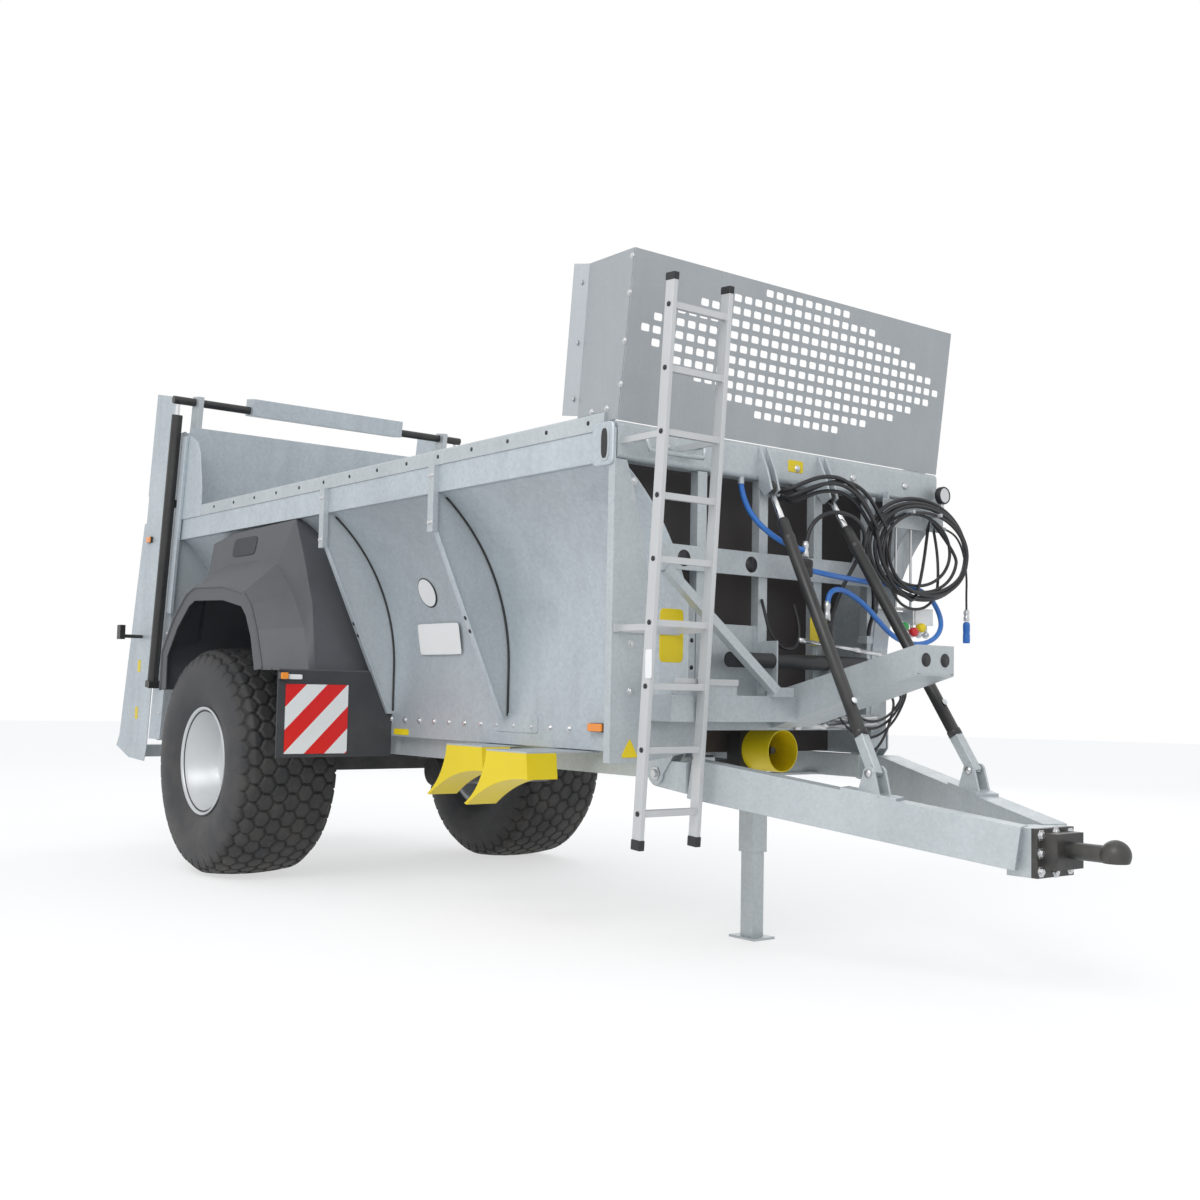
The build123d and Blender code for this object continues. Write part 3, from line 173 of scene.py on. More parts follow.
def grain_group():
    """Moulded grain: fine pebbles with a slow drift in tone and gloss."""
    g, given, out = new_group(
        "MouldedGrain",
        (("Base", "color", (0.1, 0.1, 0.1, 1)), ("Worn", "color", (0.2, 0.2, 0.2, 1)),
         ("Scale", "value", 300.0), ("Drift", "value", 0.5), ("Gloss", "value", 0.5)),
        (("Color", "color"), ("Roughness", "value"), ("Height", "value")),
    )
    fine = g.noise(given["Scale"], 2.0, 0.5)
    slow = g.noise(3.1, 4.0, 0.6)
    tone = g.math("MULTIPLY", g.math("MULTIPLY_ADD", slow, 1.6, -0.3, clamp=True), given["Drift"])
    g.link(g.mix(tone, given["Base"], given["Worn"]), out["Color"])
    g.link(g.math("MULTIPLY_ADD", slow, 0.22, given["Gloss"]), out["Roughness"])
    g.link(fine, out["Height"])
    return g.tree


def dust_group():
    """Road dust: a thin layer that is thickest near the ground and in patches."""
    g, given, out = new_group(
        "RoadDust",
        (("Clean", "color", (0.1, 0.1, 0.1, 1)), ("Dust", "color", (0.3, 0.27, 0.23, 1)),
         ("Amount", "value", 0.3), ("Full Below", "value", 0.2), ("None Above", "value", 1.6)),
        (("Color", "color"), ("Cover", "value")),
    )
    split = g.add("ShaderNodeSeparateXYZ")
    g.link(g.place(), split.inputs[0])
    depth = g.ramp(split.outputs["Z"], given["None Above"], given["Full Below"])
    patch = g.ramp(g.noise(5.5, 5.0, 0.62), 0.32, 0.72)
    cover = g.math("MULTIPLY", g.math("MULTIPLY", patch, g.math("MULTIPLY_ADD", depth, 0.75, 0.25)),
                   given["Amount"], clamp=True)
    g.link(g.mix(cover, given["Clean"], given["Dust"]), out["Color"])
    g.link(cover, out["Cover"])
    return g.tree


def edge_highlight_group():
    """Painted edge highlight: where the rounded normal turns away from the flat one, the colour is painted
    pale in broken patches, standing for light caught by the edges.
    """
    g, given, out = new_group(
        "PaintedEdgeHighlight",
        (("Base", "color", (0.5, 0.5, 0.5, 1)), ("Edge", "color", (0.8, 0.8, 0.8, 1)),
         ("Radius", "value", 0.004), ("Strength", "value", 0.6)),
        (("Color", "color"), ("Normal", "vector")),
    )
    bevel = g.add("ShaderNodeBevel", samples=4)
    g.link(given["Radius"], bevel.inputs["Radius"])
    flat = g.add("ShaderNodeNewGeometry").outputs["Normal"]
    dot = g.add("ShaderNodeVectorMath", operation="DOT_PRODUCT")
    g.link(bevel.outputs["Normal"], dot.inputs[0])
    g.link(flat, dot.inputs[1])
    turned = g.ramp(g.math("SUBTRACT", 1.0, dot.outputs["Value"]), 0.01, 0.22)
    broken = g.ramp(g.noise(38.0, 3.0, 0.6), 0.3, 0.62)
    highlight_mask = g.math("MULTIPLY", g.math("MULTIPLY", turned, broken), given["Strength"], clamp=True)
    g.link(g.mix(highlight_mask, given["Base"], given["Edge"]), out["Color"])
    g.link(bevel.outputs["Normal"], out["Normal"])
    return g.tree


ZINC, GRAIN, DUST, EDGE_HIGHLIGHT = zinc_group(), grain_group(), dust_group(), edge_highlight_group()


# ---- materials ----
class Finish:
    """One Principled material, built up from the groups."""

    def __init__(self, name, metallic=0.0, roughness=0.5, **sockets):
        self.material = bpy.data.materials.new(name)
        self.material.use_nodes = True
        self.g = Graph(self.material.node_tree)
        self.shader = self.material.node_tree.nodes["Principled BSDF"]
        self.shader.inputs["Metallic"].default_value = metallic
        self.shader.inputs["Roughness"].default_value = roughness
        for label, value in sockets.items():
            self.shader.inputs[label.replace("_", " ")].default_value = value

    def group(self, tree, **values):
        node = self.g.add("ShaderNodeGroup")
        node.node_tree = tree
        for label, value in values.items():
            self.g.feed(node.inputs[label.replace("_", " ")], value)
        return node.outputs

    def color(self, value):
        self.g.feed(self.shader.inputs["Base Color"], value)
        return self

    def rough(self, value):
        self.g.feed(self.shader.inputs["Roughness"], value)
        return self

    def bump(self, height, depth, normal=None):
        """Height in units of depth metres."""
        node = self.g.add("ShaderNodeBump")
        node.inputs["Distance"].default_value = depth
        self.g.link(height, node.inputs["Height"])
        if normal is not None:
            self.g.link(normal, node.inputs["Normal"])
        self.g.link(node.outputs["Normal"], self.shader.inputs["Normal"])
        return self


def rgb(red, green, blue):
    return (red, green, blue, 1.0)


def zinc_finish(name, pale, dark, crystals=55.0, share=0.35, metallic=0.55, dust=0.10):
    """Hot dip galvanised steel, dusty low down, with a painted highlight along its edges."""
    f = Finish(name, metallic=metallic)
    zinc = f.group(ZINC, Pale=pale, Dark=dark, Crystal_Scale=crystals, Crystal_Share=share)
    dusty = f.group(DUST, Clean=zinc["Color"], Dust=rgb(0.34, 0.32, 0.28), Amount=dust,
                    Full_Below=0.3, None_Above=1.5)
    # painted highlight: the edges are painted a pale zinc colour, as if they caught the light
    edge = f.group(EDGE_HIGHLIGHT, Base=dusty["Color"], Edge=rgb(0.74, 0.77, 0.79), Radius=0.004, Strength=0.45)
    f.color(edge["Color"]).rough(zinc["Roughness"]).bump(zinc["Height"], 0.0012, edge["Normal"])
    return f.material


def moulded_finish(name, base, drift_and_highlight, scale=340.0, drift=0.5, gloss=0.42, dust=0.0, depth=0.0004, **more):
    """Moulded or painted surface with a fine grain."""
    f = Finish(name, **more)
    grain = f.group(GRAIN, Base=base, Worn=drift_and_highlight, Scale=scale, Drift=drift, Gloss=gloss)
    dusty = f.group(DUST, Clean=grain["Color"], Dust=rgb(0.33, 0.30, 0.26), Amount=dust)
    # painted highlight: the edges take the second colour, as if they caught the light
    edge = f.group(EDGE_HIGHLIGHT, Base=dusty["Color"], Edge=drift_and_highlight, Radius=0.003, Strength=0.35)
    f.color(edge["Color"]).rough(grain["Roughness"]).bump(grain["Height"], depth, edge["Normal"])
    return f.material


GALVANISED = zinc_finish("galvanised_wall", rgb(0.60, 0.655, 0.69), rgb(0.41, 0.455, 0.49),
                         share=0.28, metallic=0.45)
GALVANISED_FRAME = zinc_finish("galvanised_frame", rgb(0.58, 0.615, 0.635), rgb(0.42, 0.46, 0.48),
                               crystals=75.0, share=0.3, metallic=0.45)
GUARD_SHEET = zinc_finish("guard_sheet", rgb(0.43, 0.455, 0.475), rgb(0.36, 0.385, 0.405),
                          crystals=80.0, share=0.2)
ALUMINIUM = zinc_finish("ladder_aluminium", rgb(0.66, 0.67, 0.68), rgb(0.55, 0.56, 0.57),
                        crystals=240.0, share=0.1, metallic=0.7)
BLACK_PAINT = moulded_finish("black_enamel", rgb(0.012, 0.012, 0.013), rgb(0.05, 0.05, 0.05), gloss=0.28,
                             dust=0.18)
GUARD_PLASTIC = moulded_finish("mudguard_plastic", rgb(0.070, 0.073, 0.082), rgb(0.125, 0.128, 0.138),
                               scale=520.0, gloss=0.40, dust=0.05)
# rubber of the mud flaps, also used as painted shade in the hood recesses
FLAP_RUBBER_AND_RECESS_SHADE = moulded_finish("flap_rubber_and_recess_shade", rgb(0.030, 0.032, 0.037), rgb(0.052, 0.054, 0.06),
                             gloss=0.50, dust=0.10)
YELLOW = moulded_finish("safety_yellow", rgb(0.78, 0.58, 0.004), rgb(0.86, 0.70, 0.02), gloss=0.30)
RIM_PAINT = moulded_finish("rim_silver", rgb(0.60, 0.62, 0.635), rgb(0.70, 0.71, 0.72), gloss=0.28,
                           dust=0.12, metallic=0.25)
DARK_PANEL = moulded_finish("film_board", rgb(0.032, 0.026, 0.026), rgb(0.060, 0.048, 0.045), scale=150.0,
                            gloss=0.26)
# black of the hoses and other black parts, also used as painted shade in holes and beside the ribs
HOSE_BLACK_AND_SHADE = moulded_finish("hose_black_and_shade", rgb(0.010, 0.010, 0.012), rgb(0.03, 0.03, 0.033), gloss=0.30,
                            scale=900.0)
HOSE_BLUE = moulded_finish("blue_sleeve", rgb(0.02, 0.13, 0.48), rgb(0.06, 0.26, 0.66), gloss=0.24)
PLATED = moulded_finish("zinc_plated", rgb(0.58, 0.59, 0.60), rgb(0.72, 0.72, 0.73), gloss=0.20,
                        metallic=0.85)
CHROME = moulded_finish("chrome", rgb(0.78, 0.78, 0.79), rgb(0.85, 0.85, 0.86), gloss=0.05, depth=0.0001,
                        metallic=1.0)
BEATER = moulded_finish("scoured_steel", rgb(0.20, 0.21, 0.22), rgb(0.38, 0.39, 0.40), gloss=0.35,
                        metallic=0.5)
ORANGE = moulded_finish("orange_lens", rgb(0.85, 0.22, 0.01), rgb(0.95, 0.40, 0.03), gloss=0.10,
                        Coat_Weight=0.6)
WHITE = moulded_finish("white_plate", rgb(0.80, 0.80, 0.80), rgb(0.86, 0.86, 0.86), gloss=0.24)
RED = moulded_finish("red_knob", rgb(0.60, 0.015, 0.02), rgb(0.75, 0.03, 0.03), gloss=0.25)
GREEN = moulded_finish("green_knob", rgb(0.02, 0.30, 0.06), rgb(0.04, 0.42, 0.1), gloss=0.25)
ROLL_RUBBER = moulded_finish("roll_rubber", rgb(0.020, 0.020, 0.022), rgb(0.045, 0.045, 0.05),
                             gloss=0.38)


def stripes_finish():
    """Warning board: red and white bands that rise outwards, on a reflective sheet of small cells."""
    f = Finish("warning_stripes", roughness=0.22)
    g = f.g
    split = g.add("ShaderNodeSeparateXYZ")
    g.link(g.place(), split.inputs[0])
    lo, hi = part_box("warning_signs")
    side = hi.z - lo.z
    # distance from the board's inner top corner, measured along the slope: |y| falls inwards, z rises
    outwards = g.math("ABSOLUTE", split.outputs["Y"])
    along = g.math("ADD", g.math("MULTIPLY", outwards, -1.0), g.math("MULTIPLY", split.outputs["Z"], -1.0))
    start = g.math("ADD", along, hi.y + hi.z)
    band = g.math("FRACT", g.math("DIVIDE", start, side * 0.655))
    red = g.math("LESS_THAN", band, 0.5)
    cells = g.add("ShaderNodeTexVoronoi", feature="DISTANCE_TO_EDGE")
    g.link(g.place(), cells.inputs["Vector"])
    cells.inputs["Scale"].default_value = 330.0
    f.color(g.mix(red, rgb(0.76, 0.77, 0.77), rgb(0.70, 0.012, 0.012)))
    return f.bump(cells.outputs["Distance"], 0.0003)


def tyre_finish():
    """Tyre rubber: near black blocks, grooves painted darker as shade, and a browner side wall."""
    f = Finish("tyre_rubber")
    g = f.g
    grain = f.group(GRAIN, Base=rgb(0.016, 0.0165, 0.018), Worn=rgb(0.040, 0.040, 0.042), Scale=420.0,
                    Drift=0.7, Gloss=0.52)
    # painted shade: the tread grooves are darkened to near black
    groove_shade = g.add("ShaderNodeAttribute", attribute_name="groove_shade").outputs["Fac"]
    groove_shaded = g.mix(g.math("MULTIPLY", groove_shade, 0.55), grain["Color"], rgb(0.008, 0.008, 0.009))
    wall = g.add("ShaderNodeAttribute", attribute_name="side_wall").outputs["Fac"]
    sided = g.mix(g.math("MULTIPLY", wall, 0.8), groove_shaded, rgb(0.046, 0.047, 0.052))
    dusty = f.group(DUST, Clean=sided, Dust=rgb(0.20, 0.175, 0.145), Amount=0.22, Full_Below=0.05,
                    None_Above=1.6)
    return f.color(dusty["Color"]).rough(grain["Roughness"]).bump(grain["Height"], 0.0006)


STRIPES = stripes_finish().material
TYRE = tyre_finish().material

# a skin is a material and the CAD slot that it belongs to
ZINC_SHEET = (GALVANISED, "galvanised_steel")
ZINC_FRAME = (GALVANISED_FRAME, "galvanised_steel")
# painted shade: black faces for the shade inside holes and slots, and inside the open rung ends
HOLE_SHADE = (HOSE_BLACK_AND_SHADE, "dark_panel")
# black of the ladder caps, and of the painted shadow lines beside the wall ribs
CAPS_AND_SHADOW_BLACK = (HOSE_BLACK_AND_SHADE, "soft_rubber")
BLACK_HOSE = (HOSE_BLACK_AND_SHADE, "hose_rubber")
BLACK_METAL = (HOSE_BLACK_AND_SHADE, "plated_steel")
VALVE_BLACK = (HOSE_BLACK_AND_SHADE, "tyre_rubber")
RUNG_END_SHADE = (HOSE_BLACK_AND_SHADE, "aluminium_section")
BLUE_HOSE = (HOSE_BLUE, "blue_hose")
YELLOW_PART = (YELLOW, "yellow_plastic")
BRIGHT = (PLATED, "plated_steel")
WHITE_PLATE = (WHITE, "plated_steel")
WHITE_LENS = (WHITE, "lamp_plastic")
ORANGE_LENS = (ORANGE, "lamp_plastic")
CHROME_ROD = (CHROME, "chrome_rod")
BLACK_STEEL = (BLACK_PAINT, "black_paint")
RIM_STEEL = (RIM_PAINT, "rim_paint")
TYRE_RUBBER = (TYRE, "tyre_rubber")
HOOD_PLASTIC = (GUARD_PLASTIC, "guard_plastic")
RECESS_SHADE = (FLAP_RUBBER_AND_RECESS_SHADE, "guard_plastic")
LADDER_METAL = (ALUMINIUM, "aluminium_section")

NODE_FINISH = {
    GALVANISED: ("side_walls", "rear_cheeks", "beater_housing", "metering_gate", "lift_bar_cover"),
    GALVANISED_FRAME: (
        "top_rails", "wall_ribs", "front_posts", "front_top_beam", "front_frame", "drawbar",
        "drawbar_brackets", "front_platform", "support_arm", "hose_rack", "chassis_beams", "cross_members",
        "rear_bulkheads", "rear_posts", "beater_frame", "jack_tube", "jack_leg", "gate_lift_arms", "floor",
    ),
    GUARD_SHEET: ("front_guard", "guard_wing"),
    ALUMINIUM: ("ladder",),
    BLACK_PAINT: ("ball_coupling", "gate_cylinders", "gearbox", "floor_conveyor", "gate_lift_bar", "axle",
                  "air_tank", "struts", "marker_lamps"),
    GUARD_PLASTIC: ("mudguards",),
    FLAP_RUBBER_AND_RECESS_SHADE: ("mud_flaps",),
    YELLOW: ("shaft_guard", "wheel_chocks"),
    RIM_PAINT: ("wheel_rim_right", "wheel_rim_left"),
    DARK_PANEL: ("front_panel",),
    CHROME: ("gate_rods",),
    BEATER: ("beater_right", "beater_left"),
    ROLL_RUBBER: ("rubber_roll",),
    PLATED: ("air_controls",),
    STRIPES: ("warning_signs",),
}
for material, names in NODE_FINISH.items():
    for name in names:
        mesh = NODES[name].data
        mesh.materials.clear()
        mesh.materials.append(material)


# ---- surfaces: every new mesh is worked out as whole arrays ----
def grid_faces(rows, columns, close_rows=False, close_columns=False):
    """Quads between neighbouring points of a rows x columns grid, joined end to end where closed."""
    r, c = np.meshgrid(np.arange(rows if close_rows else rows - 1),
                       np.arange(columns if close_columns else columns - 1), indexing="ij")
    r2, c2 = (r + 1) % rows, (c + 1) % columns
    corners = [r * columns + c, r2 * columns + c, r2 * columns + c2, r * columns + c2]
    return np.stack(corners, -1).reshape(-1, 4)


def new_object(name, data, matrix=None):
    """Makes an object from its data, links it to the scene and, where given, places it by a 4 x 4 array."""
    obj = bpy.data.objects.new(name, data)
    bpy.context.scene.collection.objects.link(obj)
    if matrix is not None:
        obj.matrix_world = Matrix(matrix.tolist())
    return obj


def dress(obj, skin, body="machine"):
    """Gives an object the material of its skin, and the body that it rides on."""
    obj.data.materials.append(skin[0])
    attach(obj, body)
    return obj


def piece(name, points, faces, skin, body="machine", smooth=True, weld=False):
    """Puts points (n, 3) and same-sized faces (m, k) into a mesh object that rides on a body."""
    mesh = bpy.data.meshes.new(name)
    faces = np.asarray(faces, np.int32)
    corners = faces.shape[1]
    mesh.vertices.add(len(points))
    mesh.vertices.foreach_set("co", np.asarray(points, np.float32).ravel())
    mesh.loops.add(faces.size)
    mesh.loops.foreach_set("vertex_index", faces.ravel())
    mesh.polygons.add(len(faces))
    mesh.polygons.foreach_set("loop_start", np.arange(0, faces.size, corners, dtype=np.int32))
    mesh.polygons.foreach_set("use_smooth", np.full(len(faces), smooth))
    mesh.update(calc_edges=True)
    if weld:
        work = bmesh.new()
        work.from_mesh(mesh)
        bmesh.ops.remove_doubles(work, verts=work.verts, dist=1e-5)
        bmesh.ops.dissolve_degenerate(work, edges=work.edges, dist=1e-6)
        bmesh.ops.recalc_face_normals(work, faces=work.faces)
        work.to_mesh(mesh)
        work.free()
    return dress(new_object(name, mesh), skin, body)


def unit(vectors):
    return vectors / np.linalg.norm(vectors, axis=-1, keepdims=True)


def frames(axes):
    """Two unit vectors square to each axis, the first as level as it can be."""
    axes = unit(np.asarray(axes, float))
    level = np.stack([-axes[:, 1], axes[:, 0], np.zeros(len(axes))], -1)
    short = np.linalg.norm(level, axis=1) < 1e-6
    level[short] = (1.0, 0.0, 0.0)
    first = unit(level)
    return first, np.cross(axes, first), axes


def turned(name, places, axes, profile, sides, skin, body="machine", smooth=True):
    """One turned shape at every place: point = place + height * axis + radius * (cos t * e1 + sin t * e2).

    profile lists (radius, height) from the foot to the tip; t takes `sides` even steps.
    """
    places = np.atleast_2d(np.asarray(places, float))
    axes = np.broadcast_to(np.asarray(axes, float), places.shape)
    e1, e2, e3 = frames(axes)
    profile = np.asarray(profile, float)
    t = np.linspace(0, 2 * pi, sides, endpoint=False)
    ring = np.cos(t)[None, :, None] * e1[:, None, :] + np.sin(t)[None, :, None] * e2[:, None, :]
    points = (places[:, None, None, :] + profile[None, :, None, 1, None] * e3[:, None, None, :]
              + profile[None, :, None, 0, None] * ring[:, None, :, :])
    rows = len(profile)
    one = grid_faces(rows, sides, close_columns=True)
    faces = (one[None] + (np.arange(len(places)) * rows * sides)[:, None, None]).reshape(-1, 4)
    return piece(name, points.reshape(-1, 3), faces, skin, body, smooth, weld=True)


BOLT = ((0.0, 0.0), (1.7, 0.0), (1.7, 0.16), (1.0, 0.16), (1.0, 0.72), (0.86, 0.84), (0.0, 0.84))
DOME = ((0.0, 0.0), (1.45, 0.0), (1.40, 0.18), (1.15, 0.52), (0.72, 0.80), (0.3, 0.90), (0.0, 0.92))


def bolts(name, places, axes, size, body="machine"):
    """Six-sided bolt heads, each on its washer; size is half the width across the head."""
    return turned(name, places, axes, np.array(BOLT) * size, 6, BRIGHT, body, smooth=False)


def disc(radius, thick=0.0015):
    """Profile of a flat disc, such as the black face painted as the shade inside a hole."""
    return (0, 0), (radius, 0), (radius, thick), (0, thick)


def plaque(name, centre, size, skin, across=X_AXIS, up=Z_AXIS, corner=10.0):
    """A thin plate with round corners: a superellipse |x/a|^n + |y/b|^n = 1, from its middle to its rim."""
    width, height, thick = size
    across, up = np.array(across, float), np.array(up, float)
    out = np.cross(across, up)
    t = np.linspace(0, 2 * pi, 48, endpoint=False)
    c, s = np.cos(t), np.sin(t)
    reach = (np.abs(c) ** corner + np.abs(s) ** corner) ** (-1.0 / corner)
    x, y = reach * c * width / 2, reach * s * height / 2
    rim = 0.5 * thick / max(width, height)
    rows = ((0.0, 1.0), (1.0 - 2 * rim, 1.0), (1.0, 0.7), (1.0, 0.0), (0.0, 0.0))
    points = np.array([np.array(centre) + k * x[:, None] * across + k * y[:, None] * up + h * thick * out
                       for k, h in rows])
    return piece(name, points.reshape(-1, 3), grid_faces(len(rows), 48, close_columns=True), skin,
                 smooth=False, weld=True)


def carried(name, path, profile, skin, up=Z_AXIS):
    """A closed profile (side, rise) carried along a path; each frame turns as little as it can."""
    path = np.asarray(path, float)
    run = unit(np.gradient(path, axis=0))
    side = np.zeros_like(run)
    side[0] = unit(np.cross(run[0], np.array(up, float)))
    for n in range(1, len(run)):
        held = side[n - 1] - run[n] * np.dot(side[n - 1], run[n])
        side[n] = unit(held)
    rise = np.cross(side, run)
    profile = np.asarray(profile, float)
    points = (path[:, None, :] + profile[None, :, 0, None] * side[:, None, :]
              + profile[None, :, 1, None] * rise[:, None, :])
    ends = np.stack([np.repeat(path[:1], len(profile), 0), np.repeat(path[-1:], len(profile), 0)])
    points = np.concatenate([ends[:1], points, ends[1:]])
    return piece(name, points.reshape(-1, 3), grid_faces(len(points), len(profile), close_columns=True),
                 skin, weld=True)


def ring_profile(radius, sides=12):
    t = np.linspace(0, 2 * pi, sides, endpoint=False)
    return np.stack([radius * np.cos(t), radius * np.sin(t)], -1)


def bars(name, starts, ends, width, depth, skin, up=Z_AXIS, bevel=0.002):
    """Square bars from start to end: eight corners each, with the edges finished by a Bevel."""
    starts, ends = np.atleast_2d(np.asarray(starts, float)), np.atleast_2d(np.asarray(ends, float))
    run = unit(ends - starts)
    side = unit(np.cross(run, np.broadcast_to(np.array(up, float), run.shape)))
    rise = np.cross(side, run)
    signs = np.array([(-1, -1), (1, -1), (1, 1), (-1, 1)]) / 2
    ring = signs[None, :, 0, None] * width * side[:, None] + signs[None, :, 1, None] * depth * rise[:, None]
    points = np.concatenate([starts[:, None] + ring, ends[:, None] + ring], 1)
    six = np.array([(0, 1, 2, 3), (7, 6, 5, 4), (0, 4, 5, 1), (1, 5, 6, 2), (2, 6, 7, 3), (3, 7, 4, 0)])
    faces = (six[None] + (np.arange(len(starts)) * 8)[:, None, None]).reshape(-1, 4)
    obj = piece(name, points.reshape(-1, 3), faces, skin, smooth=False, weld=True)
    finish = obj.modifiers.new("edges", "BEVEL")
    finish.width = bevel
    finish.segments = 2
    return obj


# ---- camera ----
SENSOR_MM = 36.0
LENS_RATIO = 1.1725                           # focal length in sensor widths, about 42 mm
CAMERA_PLACE = (AX + 9.063, -5.224, 1.277)


def place_camera():
    """A 42 mm lens at eye height, right of and in front of the machine, rolled a little."""
    azimuth, elevation, roll = radians(51.593), radians(-3.719), radians(1.12)
    right = np.array([cos(azimuth), sin(azimuth), 0.0])
    forward = -np.array([sin(azimuth) * cos(elevation), -cos(azimuth) * cos(elevation), sin(elevation)])
    up = np.cross(right, forward)
    right_rolled = cos(roll) * right + sin(roll) * up
    up_rolled = cos(roll) * up - sin(roll) * right
    matrix = np.eye(4)
    matrix[:3, :3] = np.stack([right_rolled, up_rolled, -forward], 1)
    matrix[:3, 3] = CAMERA_PLACE
    camera = new_object("camera", bpy.data.cameras.new("camera"), matrix)
    camera.data.sensor_width = SENSOR_MM
    camera.data.lens = SENSOR_MM * LENS_RATIO
    camera.data.clip_end = 200.0
    bpy.context.scene.camera = camera


place_camera()


# ---- hoses: each route is measured from the front face of the front frame ----
def at_front(points):
    """Points given from the front face of the front frame, moved to the frame of the whole machine."""
    return np.asarray(points, float) + np.array([FX, 0.0, 0.0])


def hose_curve(name, route, diameter, skin, nodes=()):
    """A round hose whose centre line is a smooth NURBS curve with the route's points as its controls."""
    curve = bpy.data.curves.new(name, "CURVE")
    curve.dimensions = "3D"
    spline = curve.splines.new("NURBS")
    spline.points.add(len(route) - 1)
    flat = np.ones((len(route), 4))
    flat[:, :3] = at_front(route)
    spline.points.foreach_set("co", flat.ravel())
    spline.order_u = 3
    spline.use_endpoint_u = True
    spline.resolution_u = 8
    curve.bevel_depth = diameter / 2
    curve.bevel_resolution = 3
    curve.use_fill_caps = True
    obj = dress(new_object(name, curve), skin)
    if nodes:
        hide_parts(*nodes)
    return obj


HOSE_D, AIR_D, LINE_D = 0.022, 0.028, 0.012
LEAD = (
    (0.032, -0.148, 2.300), (0.095, -0.142, 2.303), (0.150, -0.085, 2.340), (0.176, 0.020, 2.383),
    (0.182, 0.145, 2.392), (0.172, 0.265, 2.360), (0.155, 0.372, 2.293), (0.146, 0.470, 2.190),
)
TAIL = (
    (0.112, 0.462, 1.978), (0.119, 0.480, 1.895), (0.100, 0.520, 1.790), (0.062, 0.553, 1.700),
    (0.027, 0.566, 1.650), (0.022, 0.567, 1.600),
)


def coil_turns():
    """Three loose turns: an ellipse round (y 0.875, z 2.075) whose size grows as it moves back."""
    angle = np.radians(np.arange(180.0, 1265.0, 24.5))
    share = (angle - angle[0]) / (angle[-1] - angle[0])
    wide = 0.378 + 0.052 * share + 0.010 * np.sin(1.3 * angle)
    tall = 0.236 + 0.052 * share + 0.006 * np.sin(0.7 * angle)
    return np.stack([0.140 - 0.038 * share, 0.875 + wide * np.cos(angle), 2.075 + tall * np.sin(angle)], -1)


MAIN = hose_curve("main_hose", np.concatenate([LEAD, coil_turns(), TAIL]), HOSE_D, BLACK_HOSE,
                  ("hose_lead", "hose_coil", "hose_tail"))
ARCH_ROUTE = (
    (0.022, 0.252, 1.600), (0.030, 0.256, 1.670), (0.046, 0.285, 1.760), (0.056, 0.330, 1.860),
    (0.075, 0.375, 1.945), (0.120, 0.398, 2.030), (0.172, 0.368, 2.115), (0.195, 0.285, 2.180),
    (0.190, 0.180, 2.212), (0.174, 0.070, 2.205), (0.152, -0.012, 2.150), (0.140, -0.050, 2.050),
    (0.140, -0.050, 1.975),
)
ARCH = hose_curve("arch_hose", ARCH_ROUTE, HOSE_D, BLACK_HOSE, ("hose_arch",))
BLUE_SHORT_ROUTE = (
    (-0.025, -0.345, 2.326), (-0.010, -0.342, 2.240), (0.045, -0.300, 2.130), (0.098, -0.215, 2.052),
    (0.130, -0.135, 2.016), (0.140, -0.067, 2.005),
)
BLUE_SHORT = hose_curve("blue_short_hose", BLUE_SHORT_ROUTE, AIR_D, BLUE_HOSE, ("hose_blue_short",))
BLUE_LOOP_ROUTE = (
    (0.140, -0.012, 1.905), (0.138, 0.080, 1.897), (0.128, 0.200, 1.889), (0.100, 0.330, 1.888),
    (0.066, 0.470, 1.885), (0.062, 0.620, 1.882), (0.060, 0.780, 1.884), (0.062, 0.925, 1.874),
    (0.058, 1.040, 1.832), (0.074, 1.098, 1.748), (0.098, 1.088, 1.665), (0.106, 1.018, 1.600),
    (0.108, 0.900, 1.564), (0.108, 0.770, 1.568), (0.108, 0.655, 1.604), (0.110, 0.550, 1.672),
    (0.114, 0.440, 1.750), (0.118, 0.335, 1.798), (0.121, 0.235, 1.828), (0.123, 0.160, 1.815),
    (0.124, 0.130, 1.760), (0.124, 0.130, 1.685),
)
BLUE_LOOP = hose_curve("blue_loop_hose", BLUE_LOOP_ROUTE, AIR_D, BLUE_HOSE, ("hose_blue_loop",))
LINE_ROUTE = (
    (0.038, 1.190, 2.225), (0.041, 1.260, 2.212), (0.050, 1.318, 2.150), (0.057, 1.348, 2.055),
    (0.060, 1.360, 1.950), (0.060, 1.356, 1.860), (0.060, 1.358, 1.780), (0.060, 1.358, 1.720),
)
LINE = hose_curve("thin_line", LINE_ROUTE, LINE_D, BLACK_HOSE, ("hose_line",))


def fitting(name, place, body_long, cap_r, cap_long, cap_skin):
    """A hose end that hangs down: a plated body with a knurled collar, and a ribbed cap under it."""
    body = ((0.0, 0.0), (0.013, 0.0), (0.013, 0.10), (0.017, 0.14), (0.017, 0.34), (0.0145, 0.38),
            (0.0145, 0.55), (0.017, 0.60), (0.017, 0.95), (0.0, 0.95))
    body = np.array([(r, h * body_long) for r, h in body])
    metal = turned(name + "_body", [place], (0, 0, -1), body, 24, BRIGHT)
    cap = ((0.0, 0.0), (0.6, 0.0), (0.93, 0.06), (1.0, 0.14), (1.0, 0.40), (0.94, 0.44), (0.94, 0.58),
           (1.0, 0.62), (1.0, 0.93), (0.93, 1.0), (0.55, 1.0), (0.50, 0.90), (0.0, 0.90))
    cap = np.array([(r * cap_r, body_long + h * cap_long) for r, h in cap])
    shell = turned(name + "_cap", [place], (0, 0, -1), cap, 28, cap_skin)
    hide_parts("hose_couplers")
    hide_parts("hose_couplers")
    return [metal, shell]


